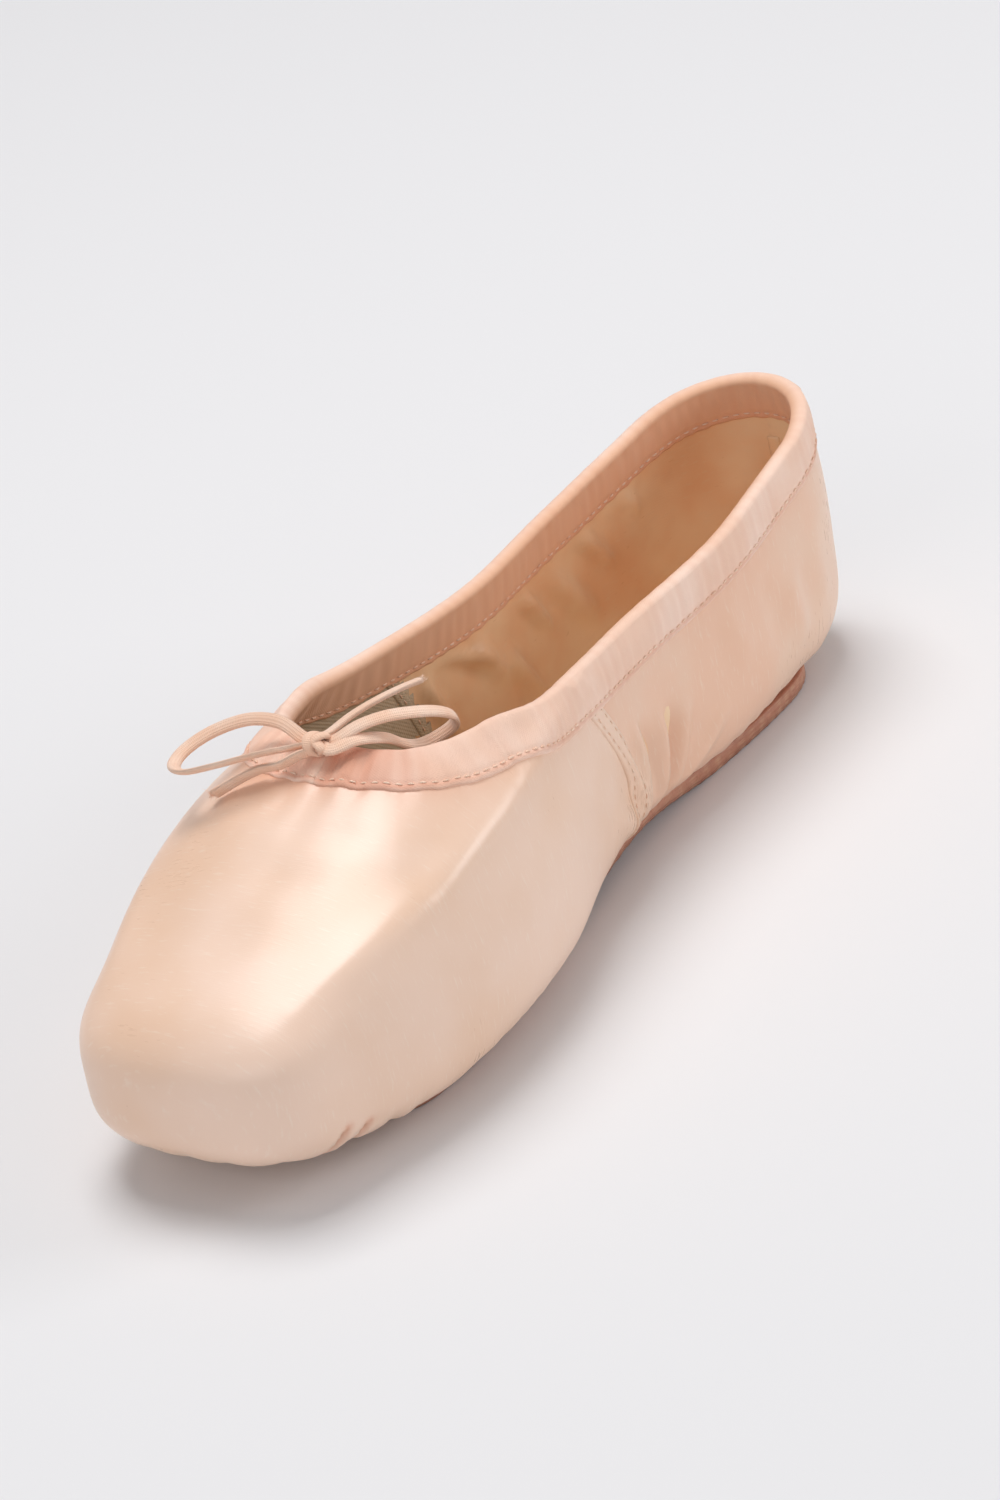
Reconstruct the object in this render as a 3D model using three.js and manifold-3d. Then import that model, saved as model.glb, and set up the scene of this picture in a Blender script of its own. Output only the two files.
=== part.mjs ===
// A pointe shoe: satin upper with a stiff toe box, leather outsole, insole, collar binding
// and the drawstring tied in a bow at the throat.
//
// Millimetres. The toe points along -Y, the heel along +Y, +X is the wearer's left, +Z is up.
// The shoe stands on its outsole on z = 0. A place along the shoe is given as s, the distance
// from the back of the heel, so y = LENGTH / 2 - s.
import * as THREE from 'three';
import { mergeVertices } from 'three/addons/utils/BufferGeometryUtils.js';
import Module from 'manifold-3d';

const wasm = await Module();
wasm.setup();

// ---------------------------------------------------------------- driving dimensions
const LENGTH = 238; // back of the heel to the platform
const BALL_WIDTH = 74; // over the satin, across the ball
const INSTEP_HEIGHT = 64; // top of the last just behind the throat
const HEEL_HEIGHT = 58; // collar above the floor at the back of the heel
const WALL_QUARTER = 1.6; // satin and cotton lining
const WALL_BOX = 3; // the stiffened layers of the toe box
const OUTSOLE_THICKNESS = 2.5;
const OUTSOLE_EDGE = 0.9; // how far its rim turns up beside the satin
const INSOLE_THICKNESS = 2.2;
const BINDING_WIDTH = 9;
const BINDING_THICKNESS = 1;
const CORD_RADIUS = 0.9;
const GAP = 0.3; // between curved pieces that meet

const SOLE_LEVEL = OUTSOLE_THICKNESS + GAP; // underside of the satin where the shoe is flat

// ---------------------------------------------------------------- the last
// A rib across the last is a superellipse that is widest at height `widest`.
// at: share of LENGTH from the heel; width: share of BALL_WIDTH; top: share of INSTEP_HEIGHT;
// lower and upper: how square the rib is below and above its widest line.
const RIBS = [
  { at: 0.113, width: 0.565, widest: 25, top: 1.33, lower: 3.6, upper: 2.4 },
  { at: 0.252, width: 0.625, widest: 25, top: 1.29, lower: 3.6, upper: 2.4 },
  { at: 0.399, width: 0.615, widest: 25, top: 1.22, lower: 3.4, upper: 2.35 },
  { at: 0.525, width: 0.755, widest: 24, top: 1.13, lower: 3.4, upper: 2.3 },
  { at: 0.63, width: 0.93, widest: 23, top: 1.01, lower: 3.6, upper: 2.45 },
  { at: 0.735, width: 1.0, widest: 22, top: 0.9, lower: 3.8, upper: 2.75 },
  { at: 0.832, width: 0.945, widest: 21, top: 0.765, lower: 4, upper: 3.1 },
  { at: 0.924, width: 0.785, widest: 21, top: 0.635, lower: 3.8, upper: 3.5 },
];
// lift: height of the outsole's underside above the floor, so arch and toe spring
const SOLE_LINE = [
  { at: 0.0, lift: 0.6 },
  { at: 0.085, lift: 0 },
  { at: 0.265, lift: 0 },
  { at: 0.42, lift: 3.6 },
  { at: 0.52, lift: 2.6 },
  { at: 0.622, lift: 0 },
  { at: 0.8, lift: 0 },
  { at: 0.9, lift: 2.2 },
  { at: 1.0, lift: 6.5 },
];
// reach: how far the rounded end stands out past its centre; plan and side: how square it is
const HEEL_END = { centre: 27, reach: 27, plan: 2.1, side: 2.5 };
const TOE_END = { centre: LENGTH - 18, reach: 18, plan: 3.2, side: 4.6 };

// ---------------------------------------------------------------- small helpers
const yOf = (s) => LENGTH / 2 - s;
const clamp = (v, low, high) => Math.min(Math.max(v, low), high);
const signedPower = (v, p) => Math.sign(v) * Math.abs(v) ** p;

// Cubic Hermite through a table's column, straight on beyond its ends. With `flat`, the curve
// never overshoots a row, so two equal rows have a straight line between them.
function column(table, key, flat = false) {
  const xs = table.map((row) => row.at * LENGTH);
  const ys = table.map((row) => row[key]);
  const steps = xs.slice(1).map((x, i) => x - xs[i]);
  const slopes = steps.map((h, i) => (ys[i + 1] - ys[i]) / h);
  const tangents = ys.map((_, i) => {
    if (i === 0) return slopes[0];
    if (i === ys.length - 1) return slopes[i - 1];
    if (flat && slopes[i - 1] * slopes[i] <= 0) return 0;
    return (slopes[i - 1] * steps[i] + slopes[i] * steps[i - 1]) / (steps[i - 1] + steps[i]);
  });
  return (x) => {
    if (x <= xs[0]) return ys[0] + (x - xs[0]) * tangents[0];
    const last = xs.length - 1;
    if (x >= xs[last]) return ys[last] + (x - xs[last]) * tangents[last];
    const i = xs.findIndex((v) => v > x) - 1;
    const t = (x - xs[i]) / steps[i];
    const a = (1 + 2 * t) * (1 - t) ** 2;
    const b = t * (1 - t) ** 2 * steps[i];
    const c = t * t * (3 - 2 * t);
    const d = t * t * (t - 1) * steps[i];
    return a * ys[i] + b * tangents[i] + c * ys[i + 1] + d * tangents[i + 1];
  };
}

const ribWidth = column(RIBS, 'width');
const ribWidest = column(RIBS, 'widest');
const ribTop = column(RIBS, 'top');
const ribLower = column(RIBS, 'lower');
const ribUpper = column(RIBS, 'upper');
const soleLift = column(SOLE_LINE, 'lift', true);

const liftAt = (s) => (s < 0 ? SOLE_LINE[0].lift : soleLift(s));
const bottomAt = (s) => SOLE_LEVEL + liftAt(s);

// Wall of the upper: thin quarters, thick box.
function wallAt(s) {
  const t = clamp((s / LENGTH - 0.68) / 0.14, 0, 1);
  return WALL_QUARTER + (WALL_BOX - WALL_QUARTER) * t * t * (3 - 2 * t);
}

// The rib at s, grown outwards by `grow` all round.
function ribAt(s, grow) {
  const bottom = bottomAt(s) - grow;
  const top = ribTop(s) * INSTEP_HEIGHT + grow;
  const widest = ribWidest(s);
  return {
    half: (ribWidth(s) * BALL_WIDTH) / 2 + grow,
    widest,
    below: widest - bottom,
    above: top - widest,
    lower: ribLower(s),
    upper: ribUpper(s),
  };
}

// A point on the last. u runs from -1 at the back of the heel over 0 and 1, the centres of the
// rounded ends, to 2 at the tip of the toe. angle runs up the rib from -90 to 90 degrees.
function lastPoint(u, angle, grow) {
  const cos = Math.cos(angle) < 1e-9 ? 0 : Math.cos(angle);
  const sin = Math.sin(angle);
  let s = HEEL_END.centre + clamp(u, 0, 1) * (TOE_END.centre - HEEL_END.centre);
  let narrow = 1;
  if (u < 0 || u > 1) {
    const end = u < 0 ? HEEL_END : TOE_END;
    const turn = ((u < 0 ? -u : u - 1) * Math.PI) / 2;
    const reach = (end.reach + grow(s)) * cos ** (2 / end.side);
    const across = Math.cos(turn) < 1e-9 ? 0 : Math.cos(turn);
    s += (u < 0 ? -1 : 1) * reach * Math.sin(turn) ** (2 / end.plan);
    narrow = across ** (2 / end.plan);
  }
  const rib = ribAt(s, grow(s));
  const power = 2 / (angle < 0 ? rib.lower : rib.upper);
  const height = angle < 0 ? rib.below : rib.above;
  return new THREE.Vector3(
    rib.half * cos ** power * narrow,
    yOf(s),
    rib.widest + height * signedPower(sin, power),
  );
}

// ---------------------------------------------------------------- solids
function toSolid(geometry) {
  const bare = geometry.clone();
  bare.deleteAttribute('normal');
  bare.deleteAttribute('uv');
  const merged = mergeVertices(bare, 1e-4);
  const index = merged.index.array;
  const kept = [];
  for (let i = 0; i < index.length; i += 3) {
    const [a, b, c] = [index[i], index[i + 1], index[i + 2]];
    if (a !== b && b !== c && c !== a) kept.push(a, b, c);
  }
  return new wasm.Manifold(
    new wasm.Mesh({
      numProp: 3,
      vertProperties: new Float32Array(merged.attributes.position.array),
      triVerts: new Uint32Array(kept),
    }),
  );
}

function toGeometry(solid) {
  const mesh = solid.getMesh();
  const geometry = new THREE.BufferGeometry();
  geometry.setAttribute('position', new THREE.BufferAttribute(mesh.vertProperties.slice(), 3));
  geometry.setIndex(new THREE.BufferAttribute(mesh.triVerts.slice(), 1));
  geometry.computeVertexNormals();
  return geometry;
}

// A closed mesh from rows of points, each row a closed loop, with a fan over both ends.
function loftLoops(loops) {
  const count = loops[0].length;
  const points = loops.flat();
  const triangles = [];
  loops.slice(1).forEach((_, r) => {
    for (let i = 0; i < count; i += 1) {
      const j = (i + 1) % count;
      const [a, b] = [r * count + i, r * count + j];
      triangles.push(a, b, b + count, a, b + count, a + count);
    }
  });
  const centre = (loop) => loop.reduce((sum, p) => sum.add(p), new THREE.Vector3()).divideScalar(count);
  const first = points.push(centre(loops[0])) - 1;
  const last = points.push(centre(loops[loops.length - 1])) - 1;
  const end = (loops.length - 1) * count;
  for (let i = 0; i < count; i += 1) {
    const j = (i + 1) % count;
    triangles.push(first, j, i, last, end + i, end + j);
  }
  const geometry = new THREE.BufferGeometry().setFromPoints(points);
  geometry.setIndex(triangles);
  const solid = toSolid(geometry);
  if (solid.volume() > 0) return solid;
  geometry.setIndex(triangles.toReversed());
  return toSolid(geometry);
}

const spread = (count, from, to) => Array.from({ length: count + 1 }, (_, i) => from + ((to - from) * i) / count);

// The last as a solid, grown by grow(s): right and left halves joined along the middle.
const STATIONS = [...spread(6, -1, 0), ...spread(18, 0, 1).slice(1), ...spread(7, 1, 2).slice(1)];
const ANGLES = spread(14, -Math.PI / 2, Math.PI / 2);
function lastSolid(grow) {
  const points = [];
  for (const side of [1, -1]) {
    for (const u of STATIONS) {
      for (const angle of ANGLES) {
        const point = lastPoint(u, angle, grow);
        points.push(point.setX(point.x * side));
      }
    }
  }
  const rows = STATIONS.length;
  const cols = ANGLES.length;
  const triangles = [];
  for (let side = 0; side < 2; side += 1) {
    for (let i = 0; i < rows - 1; i += 1) {
      for (let j = 0; j < cols - 1; j += 1) {
        const a = side * rows * cols + i * cols + j;
        const b = a + cols;
        const quad = [a, a + 1, b + 1, a, b + 1, b];
        triangles.push(...(side ? quad : quad.reverse()));
      }
    }
  }
  const geometry = new THREE.BufferGeometry().setFromPoints(points);
  geometry.setIndex(triangles);
  const solid = toSolid(geometry);
  if (solid.volume() > 0) return solid;
  geometry.setIndex(triangles.toReversed());
  return toSolid(geometry);
}

// A shell between two grown lasts, for example between the satin and the lining.
const shell = (outer, inner) => lastSolid(outer).subtract(lastSolid(inner));
const outwards = (d) => () => d;
const inwards = (d) => (s) => -wallAt(s) - d;

// ---------------------------------------------------------------- the collar
// The throat is a U seen from above: x is half its breadth at s.
const THROAT = [
  { s: 167.5, x: 7 },
  { s: 166, x: 12.5 },
  { s: 162.5, x: 17 },
  { s: 156.5, x: 20.4 },
  { s: 148, x: 22.6 },
];
const THROAT_FRONT = 168;
// Along the sides and round the heel the collar is set by its height. u is as in lastPoint.
const TOPLINE = [
  { s: 135, z: 54.8 },
  { s: 118, z: 52.8 },
  { s: 98, z: 51.4 },
  { s: 78, z: 51 },
  { s: 58, z: 51.8 },
  { s: 40, z: 53.6 },
  { u: -0.08, z: 55.4 },
  { u: -0.35, z: 56.8 },
  { u: -0.66, z: 57.6 },
  { u: -1, z: HEEL_HEIGHT },
];

const uOf = (s) => (s - HEEL_END.centre) / (TOE_END.centre - HEEL_END.centre);
function angleAtBreadth(s, x) {
  const rib = ribAt(s, 0);
  return Math.acos((x / rib.half) ** (rib.upper / 2));
}
// Round the heel the rib's own place depends on the angle, so both settle in a few turns.
function angleAtHeight(u, z) {
  let angle = 0;
  for (let turn = 0; turn < 6; turn += 1) {
    const s = LENGTH / 2 - lastPoint(u, angle, outwards(0)).y;
    const rib = ribAt(s, 0);
    angle = Math.asin(((z - rib.widest) / rib.above) ** (rib.upper / 2));
  }
  return angle;
}

// Collar points and surface normals on the +X side, from the throat back to the heel.
const collarRows = [
  { u: uOf(THROAT_FRONT), angle: Math.PI / 2 - 1e-3 },
  ...THROAT.map(({ s, x }) => ({ u: uOf(s), angle: angleAtBreadth(s, x) })),
  ...TOPLINE.map(({ s, u = uOf(s), z }) => ({ u, angle: angleAtHeight(u, z) })),
].map(({ u, angle }, i, all) => {
  const at = (du, da) => lastPoint(u + du, angle + da, outwards(0));
  const small = 1e-3;
  const back = u === -1;
  const along = at(back ? small : 0, 0).sub(at(back ? 0 : -small, 0));
  const up = at(0, 0).sub(at(0, -small));
  const row = { point: at(0, 0), normal: up.cross(along) };
  if (i === 0 || i === all.length - 1) [row.point, row.normal].forEach((v) => v.setX(0));
  row.normal.normalize();
  return row;
});
const mirrored = (v) => new THREE.Vector3(-v.x, v.y, v.z);
function collarCurve(key) {
  const right = collarRows.map((row) => row[key]);
  const left = right.slice(1, -1).reverse().map(mirrored);
  return new THREE.CatmullRomCurve3([...right, ...left], true);
}
const collarPlace = collarCurve('point');
const collarNormal = collarCurve('normal');
const COLLAR_STEPS = 64;

// The collar line moved `shift` up over the surface and `out` along its normal.
function collarPoint(t, shift, out) {
  const normal = collarNormal.getPoint(t).normalize();
  const up = normal.clone().cross(collarPlace.getTangent(t)).normalize();
  return collarPlace.getPoint(t).addScaledVector(up, shift).addScaledVector(normal, out);
}
const collarLoop = (shift, out) => spread(COLLAR_STEPS, 0, 1).slice(1).map((t) => collarPoint(t, shift, out));

// Everything above the collar line moved by `shift`: the cut runs square to the surface.
const CUT_REACH = 14;
const CUT_TOP = 130;
function aboveCollar(shift) {
  const outer = collarLoop(shift, CUT_REACH);
  return loftLoops([collarLoop(shift, -CUT_REACH), outer, outer.map((p) => p.clone().setZ(CUT_TOP))]);
}

// ---------------------------------------------------------------- sole outlines
// Half the outsole's breadth, at s: a narrow heel, a waist and a spade-shaped forepart.
const OUTSOLE = [
  { at: 0.08, half: 15.8 },
  { at: 0.19, half: 16.2 },
  { at: 0.36, half: 14.8 },
  { at: 0.5, half: 18.2 },
  { at: 0.65, half: 24.6 },
  { at: 0.76, half: 25.6 },
  { at: 0.88, half: 21.6 },
];
const OUTSOLE_BACK = 18;
const OUTSOLE_FRONT = LENGTH - 30;
const OUTSOLE_ROUND = 20; // length of the rounded ends
const outsoleHalf = column(OUTSOLE, 'half');
const SOLE_OPENING_INSET = 8; // breadth of the satin's lasted margin over the outsole
const INSOLE_SPREAD = 4; // how far the insole reaches past the outsole's outline, up to the wall

// The outsole's outline drawn in by `inset`, as an upright block from low to high.
function soleBlock(inset, low, high) {
  const back = OUTSOLE_BACK + inset;
  const front = OUTSOLE_FRONT - inset;
  const halfAt = (s) => {
    const fromEnd = Math.min(s - back, front - s);
    const round = clamp(1 - fromEnd / OUTSOLE_ROUND, 0, 1);
    return (outsoleHalf(s) - inset) * (1 - round ** 2.4) ** (1 / 2.4);
  };
  const steps = spread(40, 0, Math.PI).map((t) => (back + front) / 2 - ((front - back) / 2) * Math.cos(t));
  const right = steps.slice(1, -1).map((s) => new THREE.Vector2(halfAt(s), yOf(s)));
  const left = right.toReversed().map((p) => new THREE.Vector2(-p.x, p.y));
  const outline = new THREE.Shape([new THREE.Vector2(0, yOf(back)), ...right, new THREE.Vector2(0, yOf(front)), ...left]);
  const geometry = new THREE.ExtrudeGeometry(outline, { depth: high - low, bevelEnabled: false });
  return toSolid(geometry.translate(0, 0, low));
}

// A slab right across the shoe between two heights given along s.
const SLAB_STATIONS = [0, ...spread(20, 20, 210), LENGTH];
function slab(lowAt, highAt) {
  const at = (f) => (s) => new THREE.Vector2(-yOf(s), f(s));
  const outline = new THREE.Shape([
    ...SLAB_STATIONS.map(at(lowAt)),
    ...SLAB_STATIONS.toReversed().map(at(highAt)),
  ]);
  const geometry = new THREE.ExtrudeGeometry(outline, { depth: BALL_WIDTH, bevelEnabled: false });
  geometry.translate(0, 0, -BALL_WIDTH / 2);
  geometry.applyMatrix4(new THREE.Matrix4().makeBasis(
    new THREE.Vector3(0, -1, 0),
    new THREE.Vector3(0, 0, 1),
    new THREE.Vector3(-1, 0, 0),
  ));
  return toSolid(geometry);
}

// ---------------------------------------------------------------- the pieces
function makeUpper() {
  const opening = soleBlock(SOLE_OPENING_INSET, -1, SOLE_LEVEL + 10);
  return shell(outwards(0), inwards(0)).subtract(aboveCollar(0)).subtract(opening);
}

function makeOutsole() {
  const layer = slab(liftAt, (s) => bottomAt(s) + OUTSOLE_EDGE);
  return layer.intersect(soleBlock(0, -1, 20)).subtract(lastSolid(outwards(GAP)));
}

function makeInsole() {
  const top = (s) => bottomAt(s) + wallAt(s) + GAP + INSOLE_THICKNESS;
  const board = lastSolid(inwards(GAP))
    .intersect(slab(() => 0, top))
    .intersect(soleBlock(-INSOLE_SPREAD, -1, 20));
  const plug = slab((s) => bottomAt(s) + 2 * GAP, (s) => top(s) - INSOLE_THICKNESS / 2)
    .intersect(soleBlock(SOLE_OPENING_INSET + GAP, -1, 20));
  return board.add(plug);
}

function makeBinding() {
  const wrap = BINDING_THICKNESS + GAP;
  const band = aboveCollar(-BINDING_WIDTH).subtract(aboveCollar(wrap));
  const slot = shell(outwards(GAP), inwards(GAP)).subtract(aboveCollar(GAP));
  return shell(outwards(wrap), inwards(wrap)).intersect(band).subtract(slot);
}

// ---------------------------------------------------------------- the drawstring
// The knot sits on the front of the binding, a little towards -X.
const KNOT = new THREE.Vector3(-2, yOf(171.5), 62.8);
const KNOT_RADII = new THREE.Vector3(3.6, 3, 2.4);
// Routes as steps from the knot's middle, in millimetres.
const LOOP_LEFT = [
  [-3.9, 1.2, 0.4], [-10, 3.2, 1.6], [-17.5, 3.4, 1], [-24.5, 1, -1.2], [-28.4, -3.6, -3.2],
  [-28, -8.6, -4], [-23.5, -11.4, -3.2], [-16.5, -10.2, -1.4], [-9.5, -6.4, -0.2], [-4.1, -2.2, -0.2],
];
const LOOP_RIGHT = [
  [4.2, 1.7, 0.7], [7.4, 5, 2.3], [11, 8.8, 2.7], [14.4, 13, 1.8], [16.6, 17.2, 0], [17.2, 21.2, -3],
  [15.4, 23.4, -6.4], [12.4, 22, -8.6], [11.2, 17.6, -8.2], [11.4, 12.6, -5.4], [10.6, 8, -1.6], [7.8, 3, 0.4],
  [4.4, -0.6, -0.2],
];
const END_LEFT = [[-2.2, -3.2, -1.2], [-5.4, -5, -2.6], [-9.6, -6, -3.6], [-14, -7.4, -5.6], [-18.9, -9.4, -8.4]];
const END_RIGHT = [[1.2, 3.4, 0.8], [3.2, 8.4, 2], [5.4, 13.6, 2.6], [7.4, 18.8, 2.6], [9.2, 23.6, 2.2]];
const CORD_SIDES = 8;
const CORD_STEP = 2.2 * CORD_RADIUS * 2;

const material = (color, roughness) => new THREE.MeshStandardMaterial({ color, roughness, metalness: 0 });
const satin = material(0xecd0ba, 0.38);
const leather = material(0xb98468, 0.6);
const canvas = material(0xd9c7b0, 0.85);
const tape = material(0xf0c8b4, 0.5);
const cotton = material(0xf2ccb6, 0.65);

function cord(steps) {
  const points = steps.map(([x, y, z]) => new THREE.Vector3(x, y, z).add(KNOT));
  const route = new THREE.CatmullRomCurve3(points);
  const section = new THREE.Shape(
    spread(CORD_SIDES, 0, 2 * Math.PI).slice(1)
      .map((t) => new THREE.Vector2(CORD_RADIUS * Math.cos(t), CORD_RADIUS * Math.sin(t))),
  );
  const stepCount = Math.ceil(route.getLength() / CORD_STEP);
  return new THREE.ExtrudeGeometry(section, { steps: stepCount, bevelEnabled: false, extrudePath: route });
}
const knot = new THREE.SphereGeometry(1, 14, 9).scale(...KNOT_RADII.toArray()).translate(...KNOT.toArray());

// ---------------------------------------------------------------- assembly
const shoe = new THREE.Group();
function place(name, geometry, finish) {
  const mesh = new THREE.Mesh(geometry, finish);
  mesh.name = name;
  shoe.add(mesh);
}
place('upper', toGeometry(makeUpper()), satin);
place('outsole', toGeometry(makeOutsole()), leather);
place('insole', toGeometry(makeInsole()), canvas);
place('collar_binding', toGeometry(makeBinding()), tape);
place('drawstring_knot', knot, cotton);
place('drawstring_loop_left', cord(LOOP_LEFT), cotton);
place('drawstring_loop_right', cord(LOOP_RIGHT), cotton);
place('drawstring_end_left', cord(END_LEFT), cotton);
place('drawstring_end_right', cord(END_RIGHT), cotton);

export default shoe;
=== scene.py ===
# %% [markdown]
# A pointe shoe, built as a lesson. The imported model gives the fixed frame: upper, outsole, insole,
# collar binding and the drawstring's knot, loops and ends. Each of those plain solids is replaced
# here by a finer piece of the same size in the same place, and the thin layers that a maker adds
# are laid on top: linings, heel stay, seam bands, stitches, pleats and frayed ends.
# Everything is in metres. The toe points along -Y, +X is the wearer's left and +Z is up. A place
# along the shoe is s, the distance from the back of the heel.

# %% Load the frame
import math
from contextlib import contextmanager

import bmesh
import bpy
import numpy as np
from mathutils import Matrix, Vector


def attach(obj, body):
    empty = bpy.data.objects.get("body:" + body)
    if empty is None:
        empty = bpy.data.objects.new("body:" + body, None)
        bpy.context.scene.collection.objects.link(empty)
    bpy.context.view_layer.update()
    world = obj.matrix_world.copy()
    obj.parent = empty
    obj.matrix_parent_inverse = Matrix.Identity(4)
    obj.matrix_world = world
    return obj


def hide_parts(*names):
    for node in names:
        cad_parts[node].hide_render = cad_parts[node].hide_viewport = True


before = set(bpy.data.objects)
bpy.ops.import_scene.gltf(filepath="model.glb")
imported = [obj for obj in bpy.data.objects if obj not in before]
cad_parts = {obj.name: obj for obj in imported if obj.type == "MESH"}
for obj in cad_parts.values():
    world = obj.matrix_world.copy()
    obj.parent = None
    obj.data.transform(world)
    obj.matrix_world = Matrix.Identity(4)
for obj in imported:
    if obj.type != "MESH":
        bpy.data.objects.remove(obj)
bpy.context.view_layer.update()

# %% [markdown]
# The driving sizes are the ones the shoe was cut to. They are repeated from the part's source,
# in metres, so that every surface below is worked out on the same last.

# %% Sizes and tables
MM = 0.001
LENGTH = 238 * MM
BALL_WIDTH = 74 * MM
INSTEP_HEIGHT = 64 * MM
WALL_QUARTER = 1.6 * MM
WALL_BOX = 3 * MM
BOX_START = 0.68  # where the wall starts to thicken, as a share of the length
BOX_BLEND = 0.14  # and over which share it does
BALL_AT = 0.735
OUTSOLE_THICKNESS = 2.5 * MM
INSOLE_THICKNESS = 2.2 * MM
BINDING_WIDTH = 9 * MM
GAP = 0.3 * MM
SOLE_LEVEL = OUTSOLE_THICKNESS + GAP

RIBS = [
    dict(at=0.113, width=0.565, widest=25, top=1.33, lower=3.6, upper=2.4),
    dict(at=0.252, width=0.625, widest=25, top=1.29, lower=3.6, upper=2.4),
    dict(at=0.399, width=0.615, widest=25, top=1.22, lower=3.4, upper=2.35),
    dict(at=0.525, width=0.755, widest=24, top=1.13, lower=3.4, upper=2.3),
    dict(at=0.630, width=0.930, widest=23, top=1.01, lower=3.6, upper=2.45),
    dict(at=0.735, width=1.000, widest=22, top=0.90, lower=3.8, upper=2.75),
    dict(at=0.832, width=0.945, widest=21, top=0.765, lower=4.0, upper=3.1),
    dict(at=0.924, width=0.785, widest=21, top=0.635, lower=3.8, upper=3.5),
]
SOLE_LINE = [
    dict(at=0.000, lift=0.6),
    dict(at=0.085, lift=0.0),
    dict(at=0.265, lift=0.0),
    dict(at=0.420, lift=3.6),
    dict(at=0.520, lift=2.6),
    dict(at=0.622, lift=0.0),
    dict(at=0.800, lift=0.0),
    dict(at=0.900, lift=2.2),
    dict(at=1.000, lift=6.5),
]
HEEL_END = dict(centre=27 * MM, reach=27 * MM, plan=2.1, side=2.5, way=-1)
TOE_END = dict(centre=LENGTH - 18 * MM, reach=18 * MM, plan=3.2, side=4.6, way=1)
THROAT = [
    dict(s=167.5, x=7.0),
    dict(s=166.0, x=12.5),
    dict(s=162.5, x=17.0),
    dict(s=156.5, x=20.4),
    dict(s=148.0, x=22.6),
]
THROAT_FRONT = 168 * MM
TOPLINE = [
    dict(s=135, z=54.8),
    dict(s=118, z=52.8),
    dict(s=98, z=51.4),
    dict(s=78, z=51.0),
    dict(s=58, z=51.8),
    dict(s=40, z=53.6),
    dict(u=-0.08, z=55.4),
    dict(u=-0.35, z=56.8),
    dict(u=-0.66, z=57.6),
    dict(u=-1.0, z=58.0),
]

# %% [markdown]
# The last is one function. A rib across it is a superellipse, flat below and rounder above, and
# both ends close with a second superellipse in plan. Ribs could be drawn as curves and skinned,
# but a function can be asked for any point, so linings, bindings and stitches all fit the same
# surface without measuring it.


# %% The last as a function
HALVINGS = 24  # 28 mm halved this often is far below a thousandth of a millimetre


def smooth(t):
    """A smooth step: 0 below 0, 1 above 1."""
    t = np.clip(t, 0, 1)
    return t * t * (3 - 2 * t)


def s_of(place):
    """Distance of each place from the back of the heel, along the shoe."""
    return LENGTH / 2 - place[..., 1]


def column(table, key, scale=1.0, flat=False):
    """A smooth function of s through one column of a table, straight on beyond its ends.

    Each stretch is a cubic whose slope at a row is the mean of the slopes on either side,
    weighted by the other side's length. With flat, a row that is a turning point has slope 0.
    """
    xs = np.array([row["at"] for row in table]) * LENGTH
    ys = np.array([row[key] for row in table], float) * scale
    steps = np.diff(xs)
    slopes = np.diff(ys) / steps
    inner = (slopes[:-1] * steps[1:] + slopes[1:] * steps[:-1]) / (steps[1:] + steps[:-1])
    if flat:
        inner[slopes[:-1] * slopes[1:] <= 0] = 0
    tangents = np.concatenate([slopes[:1], inner, slopes[-1:]])

    def at(s):
        s = np.asarray(s, float)
        held = np.clip(s, xs[0], xs[-1])
        i = np.clip(np.searchsorted(xs, held, side="right") - 1, 0, len(xs) - 2)
        h = steps[i]
        t = (held - xs[i]) / h
        value = (1 + 2 * t) * (1 - t) ** 2 * ys[i] + t * (1 - t) ** 2 * h * tangents[i]
        value += t * t * (3 - 2 * t) * ys[i + 1] + t * t * (t - 1) * h * tangents[i + 1]
        return value + np.where(s < xs[0], tangents[0], tangents[-1]) * (s - held)

    return at


rib_half = column(RIBS, "width", BALL_WIDTH / 2)
rib_widest = column(RIBS, "widest", MM)
rib_top = column(RIBS, "top", INSTEP_HEIGHT)
rib_lower = column(RIBS, "lower")
rib_upper = column(RIBS, "upper")
sole_lift = column(SOLE_LINE, "lift", MM, flat=True)


def lift_at(s):
    """Height of the outsole's underside above the floor."""
    return sole_lift(np.maximum(s, 0))


def wall_at(s):
    """Thickness of the upper: thin quarters, thick box, with a smooth step between them."""
    step = smooth((np.asarray(s) / LENGTH - BOX_START) / BOX_BLEND)
    return WALL_QUARTER + (WALL_BOX - WALL_QUARTER) * step


def rib_at(s, grow):
    """Half breadth, widest height, heights below and above it, and both powers, grown outwards."""
    widest = rib_widest(s)
    below = widest - (SOLE_LEVEL + lift_at(s) - grow)
    above = rib_top(s) + grow - widest
    return rib_half(s) + grow, widest, below, above, rib_lower(s), rib_upper(s)


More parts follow.
